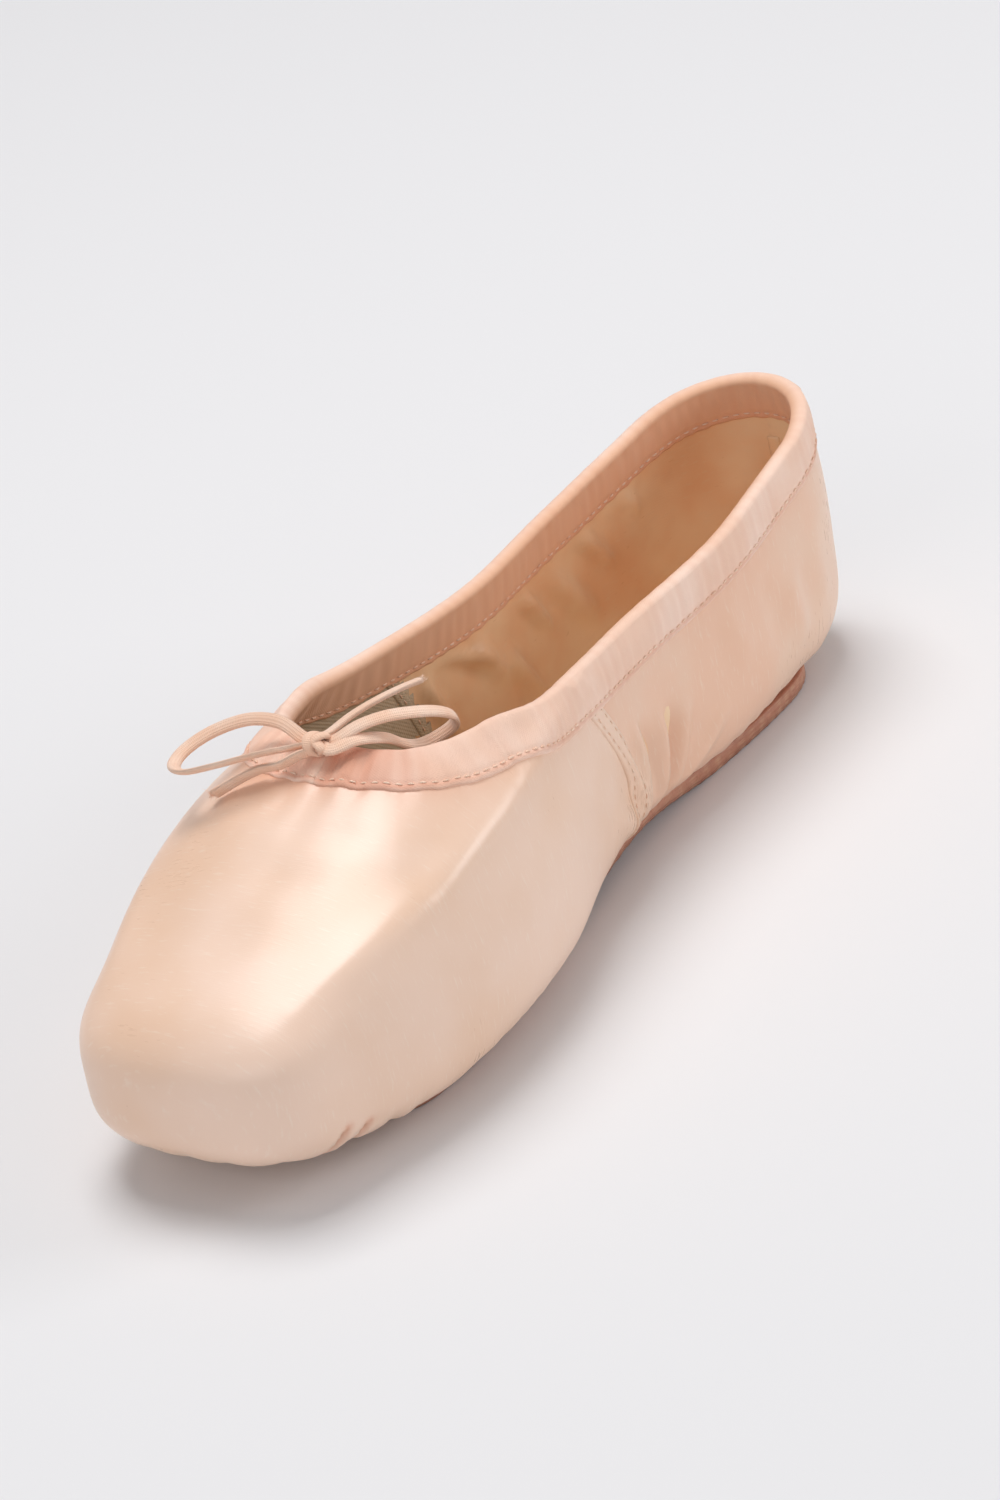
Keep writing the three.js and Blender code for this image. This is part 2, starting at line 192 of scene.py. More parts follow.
def last_point(u, angle, grow):
    """Points on the last. u runs from -1 at the heel's back over 0 and 1 to 2 at the toe's tip.

    Up a rib, the breadth goes as cos(angle) and the height as sin(angle), each to the power
    2/n. In a rounded end, the place along the shoe and the breadth go as sine and cosine of the
    turn in the same way. grow is a function of s.
    """
    u, angle = np.broadcast_arrays(np.asarray(u, float), np.asarray(angle, float))
    cos = np.where(np.cos(angle) < 1e-9, 0, np.cos(angle))
    sin = np.sin(angle)
    centre = HEEL_END["centre"] + np.clip(u, 0, 1) * (TOE_END["centre"] - HEEL_END["centre"])
    s = centre.copy()
    narrow = np.ones_like(s)
    for end, turn in ((HEEL_END, -u), (TOE_END, u - 1)):
        turn = np.clip(turn, 0, 1) * math.pi / 2
        reach = (end["reach"] + grow(centre)) * cos ** (2 / end["side"])
        s += end["way"] * reach * np.sin(turn) ** (2 / end["plan"])
        across = np.where(np.cos(turn) < 1e-9, 0, np.cos(turn))
        narrow *= across ** (2 / end["plan"])
    half, widest, below, above, lower, upper = rib_at(s, grow(s))
    power = 2 / np.where(angle < 0, lower, upper)
    height = np.where(angle < 0, below, above)
    z = widest + height * np.sign(sin) * np.abs(sin) ** power
    return np.stack([half * cos**power * narrow, LENGTH / 2 - s, z], -1)


def inside_last(point, grow):
    """True where a point is within the last grown by grow(s)."""
    x, _, z = np.moveaxis(point, -1, 0)
    s = s_of(point)
    g = grow(s)
    half, widest, below, above, lower, upper = rib_at(s, g)
    low = z < widest
    power = np.where(low, lower, upper)
    fill = 1 - (np.abs(z - widest) / np.where(low, below, above)) ** power
    room = np.maximum(fill, 1e-9)
    heel = s < LENGTH / 2
    past = np.where(heel, HEEL_END["centre"] - s, s - TOE_END["centre"])
    reach = np.where(heel, HEEL_END["reach"], TOE_END["reach"]) + g
    plan = np.where(heel, HEEL_END["plan"], TOE_END["plan"])
    side = np.where(heel, HEEL_END["side"], TOE_END["side"])
    along = np.clip(past, 0, None) / (reach * room ** (1 / side))
    across = np.abs(x) / (half * room ** (1 / power))
    return (fill > 0) & (across**plan + along**plan < 1)


def on_last(base, way, grow, low=-14 * MM, high=14 * MM):
    """The place where a line from base along way leaves the grown last, found by halving."""
    base, way = np.broadcast_arrays(base, way)
    low = np.full(base.shape[:-1], low)
    high = np.full(base.shape[:-1], high)
    for _ in range(HALVINGS):
        middle = (low + high) / 2
        within = inside_last(base + way * middle[..., None], grow)
        low = np.where(within, middle, low)
        high = np.where(within, high, middle)
    return base + way * low[..., None]


def outwards(d):
    """The outer surface moved out by d."""
    return lambda s: np.full(np.shape(s), float(d))


def inwards(d):
    """The inner surface of the wall moved in by d."""
    return lambda s: -wall_at(s) - d


print("ball breadth", 2 * rib_half(BALL_AT * LENGTH), "toe tip", last_point(2, 0, outwards(0)))

# %% [markdown]
# The collar is a closed line on the last: a U across the throat, set by its breadth, then a
# topline set by its height. The line carries the surface's normal with it, so that a place can be
# named as so far up or down from the collar and so far out from the surface.


# %% The collar line
def unit(v):
    """Vectors brought to length 1."""
    return v / np.maximum(np.linalg.norm(v, axis=-1, keepdims=True), 1e-12)


def u_of(s):
    """The last's own u of a place s in its straight part."""
    return (s - HEEL_END["centre"]) / (TOE_END["centre"] - HEEL_END["centre"])


def angle_at_breadth(s, x):
    """The rib angle, above the widest height, at which the last is x from its middle."""
    half, _, _, _, _, upper = rib_at(s, 0)
    return np.arccos((x / half) ** (upper / 2))


def angle_at_height(u, z):
    """The rib angle of a height, settled in a few turns because the heel's rib moves with it."""
    angle = 0.0
    for _ in range(6):
        s = s_of(last_point(u, angle, outwards(0)))
        _, widest, _, above, _, upper = rib_at(s, 0)
        angle = np.arcsin(((z - widest) / above) ** (upper / 2))
    return angle


def collar_rows():
    """(u, angle) of each row of the collar's tables, from the throat back to the heel."""
    rows = [(u_of(THROAT_FRONT), math.pi / 2 - 1e-3)]
    for row in THROAT:
        s = row["s"] * MM
        rows.append((u_of(s), angle_at_breadth(s, row["x"] * MM)))
    for row in TOPLINE:
        u = row.get("u", u_of(row.get("s", 0) * MM))
        rows.append((u, angle_at_height(u, row["z"] * MM)))
    return np.array(rows)


def catmull(points, t):
    """A closed centripetal Catmull-Rom curve through points at t from 0 to 1."""
    count = len(points)
    place = (np.asarray(t, float) % 1) * count
    i = np.floor(place).astype(int) % count
    f = (place - np.floor(place))[..., None]
    p0, p1, p2, p3 = (points[(i + k) % count] for k in (-1, 0, 1, 2))
    d0, d1, d2 = (np.sqrt(np.linalg.norm(b - a, axis=-1, keepdims=True)) + 1e-9
                  for a, b in ((p0, p1), (p1, p2), (p2, p3)))
    t1 = d1 * ((p1 - p0) / d0 - (p2 - p0) / (d0 + d1) + (p2 - p1) / d1)
    t2 = d1 * ((p2 - p1) / d1 - (p3 - p1) / (d1 + d2) + (p3 - p2) / d2)
    return p1 + f * (t1 + f * (3 * (p2 - p1) - 2 * t1 - t2 + f * (2 * (p1 - p2) + t1 + t2)))


MIRROR = np.array([-1, 1, 1])
COLLAR_COUNT = 1440
COLLAR_SKIP = 4  # every fourth frame is near enough to find the nearest one


def collar_frames(count=COLLAR_COUNT):
    """Places, normals and up vectors evenly spaced along the collar, starting at the throat."""
    u, angle = collar_rows().T
    small = 1e-3
    step = np.where(u < -0.999, small, 0)
    here = last_point(u, angle, outwards(0))
    ahead, behind = (last_point(v, angle, outwards(0)) for v in (u + step, u + step - small))
    normal = unit(np.cross(here - last_point(u, angle - small, outwards(0)), ahead - behind))
    here[[0, -1], 0] = 0
    normal[[0, -1], 0] = 0
    places = np.concatenate([here, here[-2:0:-1] * MIRROR])
    normals = np.concatenate([normal, normal[-2:0:-1] * MIRROR])
    fine = np.linspace(0, 1, 8 * count, endpoint=False)
    line = catmull(places, fine)
    lengths = np.linalg.norm(np.roll(line, -1, 0) - line, axis=1)
    run = np.concatenate([[0], np.cumsum(lengths)])
    even = np.interp(np.linspace(0, run[-1], count, endpoint=False), run, np.append(fine, 1))
    place = catmull(places, even)
    out = unit(catmull(normals, even))
    tangent = unit(np.roll(place, -1, 0) - np.roll(place, 1, 0))
    return place, out, unit(np.cross(out, tangent)), run[-1]


collar_place, collar_out, collar_up, COLLAR_LENGTH = collar_frames()
print("collar", round(COLLAR_LENGTH, 4), "m round")


def from_collar(points):
    """(distance above the collar line, place 0 to 1 along it) of points near the collar."""
    flat = points.reshape(-1, 3)
    nearest = np.empty(len(flat), int)
    for part in np.array_split(np.arange(len(flat)), max(1, len(flat) // 4000)):
        gap = flat[part, None, :] - collar_place[None, ::COLLAR_SKIP, :]
        nearest[part] = np.einsum("ijk,ijk->ij", gap, gap).argmin(1) * COLLAR_SKIP
    above = np.einsum("ij,ij->i", flat - collar_place[nearest], collar_up[nearest])
    shape = points.shape[:-1]
    return above.reshape(shape), (nearest / len(collar_place)).reshape(shape)


# %% [markdown]
# The camera looks down on the shoe from the wearer's left and ahead of the toe, and is rolled a
# little, so that the shoe climbs across the frame from its toe. It is made first.

# %% The camera
CAMERA_AZIMUTH = math.radians(37)
CAMERA_HEIGHT = math.radians(28)
CAMERA_ROLL = math.radians(-11)
CAMERA_DISTANCE = 1.1
CAMERA_TARGET = np.array([-0.002, 0.004, 0.030])
CAMERA_LENS = 133.0


def make_camera():
    """A camera whose picture is turned by the roll, built from its right, up and back vectors."""
    sin_a, cos_a = math.sin(CAMERA_AZIMUTH), math.cos(CAMERA_AZIMUTH)
    sin_h, cos_h = math.sin(CAMERA_HEIGHT), math.cos(CAMERA_HEIGHT)
    back = np.array([sin_a * cos_h, -cos_a * cos_h, sin_h])
    right = np.array([cos_a, sin_a, 0])
    up = np.cross(back, right)
    cos_r, sin_r = math.cos(CAMERA_ROLL), math.sin(CAMERA_ROLL)
    turn = np.eye(4)
    turn[:3, 0] = cos_r * right + sin_r * up
    turn[:3, 1] = cos_r * up - sin_r * right
    turn[:3, 2] = back
    turn[:3, 3] = CAMERA_TARGET + back * CAMERA_DISTANCE
    data = bpy.data.cameras.new("studio_camera")
    data.lens = CAMERA_LENS
    camera = bpy.data.objects.new("studio_camera", data)
    camera.matrix_world = turn.T.tolist()
    bpy.context.scene.collection.objects.link(camera)
    bpy.context.scene.camera = camera
    return camera


camera = make_camera()
print("camera at", [round(v, 3) for v in camera.matrix_world.translation])

# %% [markdown]
# A new surface is a grid of points worked out as one array, and a helper turns the grid into a
# mesh. A curve object would do for a plain tube, but a grid also gives flat tapes, strips that
# follow the last, and rings that close in a point.


# %% Grids into meshes
WELD_DISTANCE = 1e-6


def grid_faces(rows, columns, ring=False, closed=False):
    """Corners of every face of a grid, joined round its columns if ring and its rows if closed."""
    i = np.arange(rows if closed else rows - 1)[:, None]
    j = np.arange(columns if ring else columns - 1)[None, :]
    below, above = i * columns, (i + 1) % rows * columns
    k = (j + 1) % columns
    return np.stack([below + j, below + k, above + k, above + j], -1).reshape(-1, 4)


def repeated(faces, points, count):
    """The faces of count copies of a part that has so many points."""
    return np.concatenate([faces + i * points for i in range(count)])


def keep_attribute(mesh, key, values):
    """Keeps a named vector on each point of a mesh."""
    layer = mesh.attributes.new(key, "FLOAT_VECTOR", "POINT")
    layer.data.foreach_set("vector", np.ascontiguousarray(values, np.float32).reshape(-1))


def new_object(name, points, faces, material, attributes=None):
    """A smooth mesh object from points and faces, with named vectors kept on its points."""
    mesh = bpy.data.meshes.new(name)
    mesh.from_pydata(points.reshape(-1, 3).tolist(), [], faces.tolist())
    for key, values in (attributes or {}).items():
        keep_attribute(mesh, key, values)
    mesh.polygons.foreach_set("use_smooth", np.ones(len(mesh.polygons), bool))
    mesh.materials.append(material)
    piece = bpy.data.objects.new(name, mesh)
    bpy.context.scene.collection.objects.link(piece)
    return piece


@contextmanager
def opened(piece):
    """A piece's mesh, open for work, which is written back afterwards."""
    work = bmesh.new()
    work.from_mesh(piece.data)
    yield work
    work.to_mesh(piece.data)
    work.free()


def weld(piece):
    """Joins points that lie on each other and turns all faces outwards."""
    with opened(piece) as work:
        bmesh.ops.remove_doubles(work, verts=work.verts, dist=WELD_DISTANCE)
        bmesh.ops.dissolve_degenerate(work, edges=work.edges, dist=WELD_DISTANCE)
        bmesh.ops.recalc_face_normals(work, faces=work.faces)
    return piece


def new_grid(name, points, material, attributes=None, **joined):
    """A welded mesh from a grid of points. ring and closed say how the grid is joined."""
    faces = grid_faces(*points.shape[:2], **joined)
    return weld(new_object(name, points, faces, material, attributes))


def cloth_grid(along, across):
    """Cloth coordinates of a grid, from distances along its rows and across its columns."""
    return np.stack(np.broadcast_arrays(along[:, None], across[None], 0), -1)


def points_of(piece):
    """The mesh's points and their normals as arrays."""
    mesh = piece.data
    place, normal = np.empty(3 * len(mesh.vertices)), np.empty(3 * len(mesh.vertices))
    mesh.vertices.foreach_get("co", place)
    mesh.vertices.foreach_get("normal", normal)
    return place.reshape(-1, 3), normal.reshape(-1, 3)


def move_points(piece, places):
    """Puts each point of a piece at its new place."""
    piece.data.vertices.foreach_set("co", np.ascontiguousarray(places, np.float32).reshape(-1))
    piece.data.update()


def cut_away(piece, mask):
    """Deletes the faces whose corners are all in mask, and the points that are left over."""
    with opened(piece) as work:
        drop = [face for face in work.faces if all(mask[v.index] for v in face.verts)]
        bmesh.ops.delete(work, geom=drop, context="FACES")
        loose = [v for v in work.verts if not v.link_faces]
        bmesh.ops.delete(work, geom=loose, context="VERTS")


def turn_faces(piece, inside):
    """Turns a cast sheet's faces out of the last, or into it. Returns its places and normals."""
    place, normal = points_of(piece)
    middle = np.stack([0 * place[:, 0], place[:, 1], rib_widest(s_of(place))], -1)
    if (np.einsum("ij,ij->i", normal, place - middle).sum() > 0) == inside:
        piece.data.flip_normals()
        normal = -normal
    return place, normal


def thicken(piece, thickness):
    """Gives a sheet its thickness, away from the way its faces look."""
    wall = piece.modifiers.new("thickness", "SOLIDIFY")
    wall.thickness = thickness
    wall.offset = -1.0


def hand_over(piece, slot, *nodes):
    """Puts a piece on the shoe's one body and hides the plain solids it stands for; slot is not used.
    """
    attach(piece, "root")
    if nodes:
        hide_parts(*nodes)
    count = sum(len(face.vertices) - 2 for face in piece.data.polygons)
    print(f"{piece.name}: {count * (2 if piece.modifiers else 1)} triangles")
    return piece


# %% [markdown]
# Materials are written as sums. A Wire holds one output of a shader node, and adding or
# multiplying wires adds Math nodes, so a pattern reads like the formula that it is. Everything
# else is one method that makes a node from its type, its settings and what goes into it.


# %% Wires and finishes
def socket_of(sockets, key):
    """A node's socket by number, identifier or name."""
    if isinstance(key, int):
        return sockets[key]
    found = [socket for socket in sockets if socket.identifier == key]
    return found[0] if found else sockets[key]


class Wire:
    """One output of a shader node, which can be written in sums."""

    def __init__(self, tree, socket):
        self.tree = tree
        self.socket = socket

    def math(self, operation, *terms):
        """A Math node on wires and plain numbers."""
        node = self.tree.nodes.new("ShaderNodeMath")
        node.operation = operation
        for socket, term in zip(node.inputs, terms):
            if isinstance(term, Wire):
                self.tree.links.new(term.socket, socket)
            else:
                socket.default_value = term
        return Wire(self.tree, node.outputs[0])

    def __add__(self, other):
        return self.math("ADD", self, other)

    def __sub__(self, other):
        return self.math("SUBTRACT", self, other)

    def __rsub__(self, other):
        return self.math("SUBTRACT", other, self)

    def __mul__(self, other):
        return self.math("MULTIPLY", self, other)

    __radd__ = __add__
    __rmul__ = __mul__

    def wave(self, length):
        """Swings between -1 and 1 once in each length."""
        return self.math("SINE", self * (2 * math.pi / length))

    def size(self):
        """The value without its sign."""
        return self.math("ABSOLUTE", self)

    def rise(self, low, high):
        """0 below low and 1 above high, with a smooth step between them."""
        node = self.tree.nodes.new("ShaderNodeMapRange")
        node.interpolation_type = "SMOOTHSTEP"
        self.tree.links.new(self.socket, node.inputs["Value"])
        node.inputs["From Min"].default_value = low
        node.inputs["From Max"].default_value = high
        return Wire(self.tree, node.outputs["Result"])


class Finish:
    """A material, its nodes and its shader. Words in a socket's name are joined by _."""

    def __init__(self, name, **constants):
        self.material = bpy.data.materials.new(name)
        self.material.use_nodes = True
        self.tree = self.material.node_tree
        self.shader = self.tree.nodes["Principled BSDF"]
        for key, value in constants.items():
            self.shader.inputs[key.replace("_", " ")].default_value = value

    def node(self, kind, settings=None, output=0, **inputs):
        """Adds a node: its settings are set first, then each input gets its value or wire."""
        node = self.tree.nodes.new("ShaderNode" + kind)
        for key, value in (settings or {}).items():
            setattr(node, key, value)
        for key, value in inputs.items():
            socket = socket_of(node.inputs, key)
            if isinstance(value, Wire):
                self.tree.links.new(value.socket, socket)
            else:
                socket.default_value = value
        return Wire(self.tree, socket_of(node.outputs, output))

    def place(self):
        """A point's own place on its piece, in metres."""
        return self.node("TexCoord", output="Object")

    def attribute(self, name):
        """A vector kept on the points of a piece."""
        return self.node("Attribute", {"attribute_name": name}, output="Vector")

    def parts(self, vector):
        """The three numbers of a vector, as wires."""
        node = self.node("SeparateXYZ", Vector=vector).socket.node
        return [Wire(self.tree, socket) for socket in node.outputs]

    def noise(self, vector, scale, detail=2.0, roughness=0.5, stretch=None):
        """Soft noise round 0.5, with scale in cycles a metre, stretched by a Mapping node."""
        if stretch:
            vector = self.node("Mapping", Vector=vector, Scale=stretch)
        return self.node("TexNoise", Vector=vector, Scale=scale, Detail=detail, Roughness=roughness)

    def blend(self, share, a, b):
        """Colour a where share is 0 and b where it is 1."""
        return self.node(
            "Mix", {"data_type": "RGBA"}, "Result_Color", Factor_Float=share, A_Color=a, B_Color=b
        )

    def bump(self, height, distance, strength):
        """A normal tilted by height, whose unit is distance metres."""
        return self.node("Bump", None, "Normal", Height=height, Distance=distance, Strength=strength)

    def finish(self, shade, rough, relief):
        """Joins colour, roughness and bump to the shader and gives the material."""
        for key, wire in (("Base Color", shade), ("Roughness", rough), ("Normal", relief)):
            self.tree.links.new(wire.socket, self.shader.inputs[key])
        return self.material


def colour(r, g, b):
    """A colour named as it looks on a screen, from 0 to 255, as the shader's linear values."""
    share = np.array([r, g, b]) / 255
    linear = np.where(share <= 0.04045, share / 12.92, ((share + 0.055) / 1.055) ** 2.4)
    return (*linear.tolist(), 1.0)


# %% [markdown]
# Satin is a weave whose long floats all lie one way, so it shines, and it shows fine slubs where a
# thread is thick; their lighter colour is a painted glint. The upper's satin is peach and glossy,
# and deeper behind the side seams. Painted shade makes it darker and redder where it is gathered
# under the binding and in the tucks at the toe, and it is darker and duller near the sole.
# Those three places are kept as a vector on the piece's points, because noise can't know them.


# %% Satin
def make_satin():
    """Peach satin: slow changes of tone, slubs across the shoe with painted glints, painted shade in
    its gathers, and fine floats in the bump.
    """
    f = Finish("peach_satin", Specular_IOR_Level=0.6, Sheen_Weight=0.12, Sheen_Roughness=0.4,
               Sheen_Tint=colour(255, 226, 206))
    place = f.place()
    gather_shade, near_sole, quarter = f.parts(f.attribute("shade_and_tone"))
    slow = f.noise(place, 24, detail=3)
    slub_and_glint = f.noise(place, 1, detail=2, stretch=(330, 2000, 300))
    grain = f.noise(place, 1, detail=1, stretch=(2600, 2600, 2600))
    x, y, z = f.parts(place)
    floats = (y + 0.4 * z).wave(0.42 * MM) * 0.5 + (x + 0.7 * z).wave(0.31 * MM) * 0.5
    shade = f.blend(slow.rise(0.35, 0.7), colour(241, 203, 175), colour(248, 216, 195))
    shade = f.blend(quarter * slow.rise(0.4, 0.62) * 0.6, shade, colour(240, 184, 148))
    # The slubs are real and set the bump; their lighter colour is a painted glint.
    shade = f.blend(slub_and_glint.rise(0.56, 0.78) * 0.3, shade, colour(254, 236, 220))
    # Painted shade: darker and redder in the gathers under the binding and in the toe tucks.
    shade = f.blend(gather_shade * 0.5, shade, colour(226, 158, 124))
    # Darker and duller near the sole.
    shade = f.blend(near_sole * 0.35, shade, colour(206, 160, 130))
    rough = 0.3 + (slub_and_glint - 0.5) * 0.1 + (slow - 0.5) * 0.14 + near_sole * 0.1
    relief = f.bump(floats * 0.1 + slub_and_glint * 0.8 + grain * 0.2, 0.05 * MM, 0.35)
    return f.finish(shade, rough, relief)


satin = make_satin()
print("made", satin.name)

# %% [markdown]
# The other cloths are plain weaves: one thread over, one under, both ways. The same small bump
# serves binding tape, canvas lining and the sock, at each one's own thread spacing, and follows a
# piece's own cloth coordinates so that it doesn't swim across folds.


# %% Plain weaves
def weave(f, pitch):
    """Threads both ways in a piece's cloth coordinates: high where warp and weft cross."""
    along, across, _ = f.parts(f.attribute("cloth"))
    return along.wave(pitch) * across.wave(pitch)


def make_tape():
    """Binding tape: matt pink cotton, with painted shade in its gathers, beside the knot, along its
    stitches and on the side that faces in.
    """
    f = Finish("binding_cotton", Specular_IOR_Level=0.3, Sheen_Weight=0.25, Sheen_Roughness=0.5,
               Sheen_Tint=colour(255, 225, 210))
    gather_shade, inner, _ = f.parts(f.attribute("shade_and_tone"))
    slow = f.noise(f.place(), 60, detail=3)
    fuzz = f.noise(f.place(), 1800, detail=2)
    shade = f.blend(slow.rise(0.35, 0.7), colour(250, 211, 188), colour(255, 224, 206))
    # Painted shade on the side that faces in: the same tape, darker and more orange.
    shade = f.blend(inner * 0.8, shade, colour(244, 190, 152))
    # Painted shade in the gathers, beside the knot and along the stitch groove.
    shade = f.blend(gather_shade * 0.65, shade, colour(216, 138, 104))
    rough = 0.62 + (fuzz - 0.5) * 0.2
    relief = f.bump(weave(f, 0.55 * MM) * 0.6 + fuzz * 0.8, 0.07 * MM, 0.5)
    return f.finish(shade, rough, relief)


def make_canvas():
    """Unbleached cotton drill of the vamp's lining and the sock."""
    f = Finish("lining_canvas", Specular_IOR_Level=0.2)
    slow = f.noise(f.place(), 45, detail=4)
    fleck = f.noise(f.place(), 700, detail=2)
    shade = f.blend(slow.rise(0.35, 0.7), colour(196, 176, 150), colour(214, 196, 170))
    shade = f.blend(fleck.rise(0.6, 0.75) * 0.3, shade, colour(170, 148, 120))
    rough = 0.82 + (fleck - 0.5) * 0.15
    relief = f.bump(weave(f, 0.9 * MM) * 0.9 + fleck * 0.8, 0.12 * MM, 0.6)
    return f.finish(shade, rough, relief)


def make_sateen():
    """Lining of the quarters: thin orange-beige sateen with a soft shine on its folds, and painted
    glints on its slubs.
    """
    f = Finish("lining_sateen", Specular_IOR_Level=0.5, Sheen_Weight=0.1, Sheen_Roughness=0.4)
    slow = f.noise(f.place(), 40, detail=3)
    slub_and_glint = f.noise(f.place(), 1, detail=2, stretch=(700, 300, 1500))
    shade = f.blend(slow.rise(0.35, 0.7), colour(243, 194, 150), colour(253, 222, 184))
    # The slubs' lighter colour is a painted glint.
    shade = f.blend(slub_and_glint.rise(0.55, 0.75) * 0.3, shade, colour(244, 214, 180))
    rough = 0.32 + (slub_and_glint - 0.5) * 0.2
    relief = f.bump(weave(f, 0.4 * MM) * 0.4 + slub_and_glint * 0.8, 0.06 * MM, 0.4)
    return f.finish(shade, rough, relief)


def make_cotton():
    """The drawstring: a flat braid, slanting one way and then the other along the cord, with painted
    highlights on its raised crests.
    """
    f = Finish("drawstring_braid", Specular_IOR_Level=0.3, Sheen_Weight=0.2, Sheen_Roughness=0.5)
    along, across, _ = f.parts(f.attribute("cloth"))
    braid_and_highlight = (along + across).wave(0.75 * MM) * (along - across).wave(0.75 * MM)
    slow = f.noise(f.place(), 150, detail=3)
    shade = f.blend(slow.rise(0.35, 0.7), colour(252, 208, 180), colour(255, 222, 200))
    # Painted highlight: the braid is lighter where its bump rises.
    shade = f.blend(braid_and_highlight.rise(0.2, 1.0) * 0.25, shade, colour(253, 228, 208))
    rough = 0.66 + (slow - 0.5) * 0.2
    return f.finish(shade, rough, f.bump(braid_and_highlight, 0.09 * MM, 0.7))


def make_thread():
    """Sewing thread: twisted, so its shine runs in slanting bars."""
    f = Finish("sewing_thread", Specular_IOR_Level=0.45)
    x, y, z = f.parts(f.place())
    twist = (x + y + z).wave(0.5 * MM)
    slow = f.noise(f.place(), 90, detail=2)
    shade = f.blend(slow.rise(0.3, 0.7), colour(242, 200, 172), colour(255, 226, 204))
    rough = 0.5 + (slow - 0.5) * 0.1
    return f.finish(shade, rough, f.bump(twist, 0.05 * MM, 0.5))


tape = make_tape()
canvas = make_canvas()
sateen = make_sateen()
cotton = make_cotton()
thread = make_thread()
print("made", [m.name for m in (tape, canvas, sateen, cotton, thread)])

# %% [markdown]
# The outsole is one piece of thin buffed leather. It is pinkish tan with fine pores, darker where
# its edge was burnished, and it has a pressed line inside its rim. The rim's own distance is kept
# on its points, so the line follows the outline.


# %% Leather
def make_leather():
    """Buffed leather: pores, a pressed line at a set distance from the rim, burnish and scuffs."""
    f = Finish("outsole_hide", Specular_IOR_Level=0.4)
    place = f.place()
    rim, side, _ = f.parts(f.attribute("rim"))
    slow = f.noise(place, 30, detail=4)
    pore = f.noise(place, 1500, detail=3, roughness=0.6)
    fibre = f.noise(place, 1, detail=3, stretch=(900, 250, 2400))
    scuff = f.noise(place, 1, detail=3, roughness=0.6, stretch=(160, 30, 160)).rise(0.6, 0.72)
    line = 1 - (rim - 3.4 * MM).size().rise(0.1 * MM, 0.42 * MM)
    edge = 1 - rim.rise(0.3 * MM, 2.6 * MM)
    shade = f.blend(slow.rise(0.3, 0.7), colour(184, 122, 98), colour(202, 144, 120))
    shade = f.blend(pore.rise(0.52, 0.7) * 0.3, shade, colour(150, 92, 70))
    shade = f.blend(scuff * 0.4, shade, colour(216, 172, 150))
    shade = f.blend(edge * 0.55, shade, colour(138, 84, 62))
    shade = f.blend(line * 0.5, shade, colour(120, 70, 52))
    shade = f.blend(side * fibre.rise(0.35, 0.65), shade, colour(206, 160, 130))
    rough = 0.52 + (pore - 0.5) * 0.25 + scuff * 0.15 - edge * 0.08
    relief = f.bump(pore * 0.7 + fibre * side - line * 1.6, 0.12 * MM, 0.6)
    return f.finish(shade, rough, relief)


leather = make_leather()
print("made", leather.name)

# %% [markdown]
# The drawstring runs inside the binding, comes out at the throat and is tied in a bow. Its two
# halves are two cords. Each leaves the slit under the knot, goes through the knot into a loop,
# back through the knot and out to a cut end. The routes are the ones that the solid cords have,
# as steps from the knot's middle, with a few hidden steps inside the knot to join them.

# %% The drawstring's routes
KNOT = np.array([-2 * MM, LENGTH / 2 - 171.5 * MM, 62.8 * MM])
LOOP_LEFT = [
    [-3.9, 1.2, 0.4], [-10, 3.2, 1.6], [-17.5, 3.4, 1], [-24.5, 1, -1.2], [-28.4, -3.6, -3.2],
    [-28, -8.6, -4], [-23.5, -11.4, -3.2], [-16.5, -10.2, -1.4], [-9.5, -6.4, -0.2],
    [-4.1, -2.2, -0.2],
]
LOOP_RIGHT = [
    [4.2, 1.7, 0.7], [7.4, 5, 2.3], [11, 8.8, 2.7], [14.4, 13, 1.8], [16.6, 17.2, 0], [17.2, 21.2, -3],
    [15.4, 23.4, -6.4], [12.4, 22, -8.6], [11.2, 17.6, -8.2], [11.4, 12.6, -5.4], [10.6, 8, -1.6],
    [7.8, 3, 0.4], [4.4, -0.6, -0.2],
]
END_LEFT = [
    [-2.2, -3.2, -1.2], [-5.4, -5, -2.6], [-9.6, -6, -3.6], [-14, -7.4, -5.6], [-18.9, -9.4, -8.4],
]
END_RIGHT = [[1.2, 3.4, 0.8], [3.2, 8.4, 2], [5.4, 13.6, 2.6], [7.4, 18.8, 2.6], [9.2, 23.6, 2.2]]
SLIT_LEFT = [[-0.9, 1.6, -2.9], [-1.5, 1.2, -0.9]]
SLIT_RIGHT = [[0.9, 1.6, -2.9], [1.5, 1.2, -0.7]]
TURN_LEFT = [[-1.6, -1.0, 0.1], [0.3, -0.3, -0.1], [-0.3, -1.7, -0.7]]
TURN_RIGHT = [[1.7, -0.5, 0], [-0.3, -0.4, 0.3], [0.1, 1.4, 0.7]]
CORD_WIDTH = 2.7 * MM
CORD_THICKNESS = 1.15 * MM
CORD_GIRTH = 5.5 * MM
CORD_SIDES = 14
CORD_POWER = 2.6


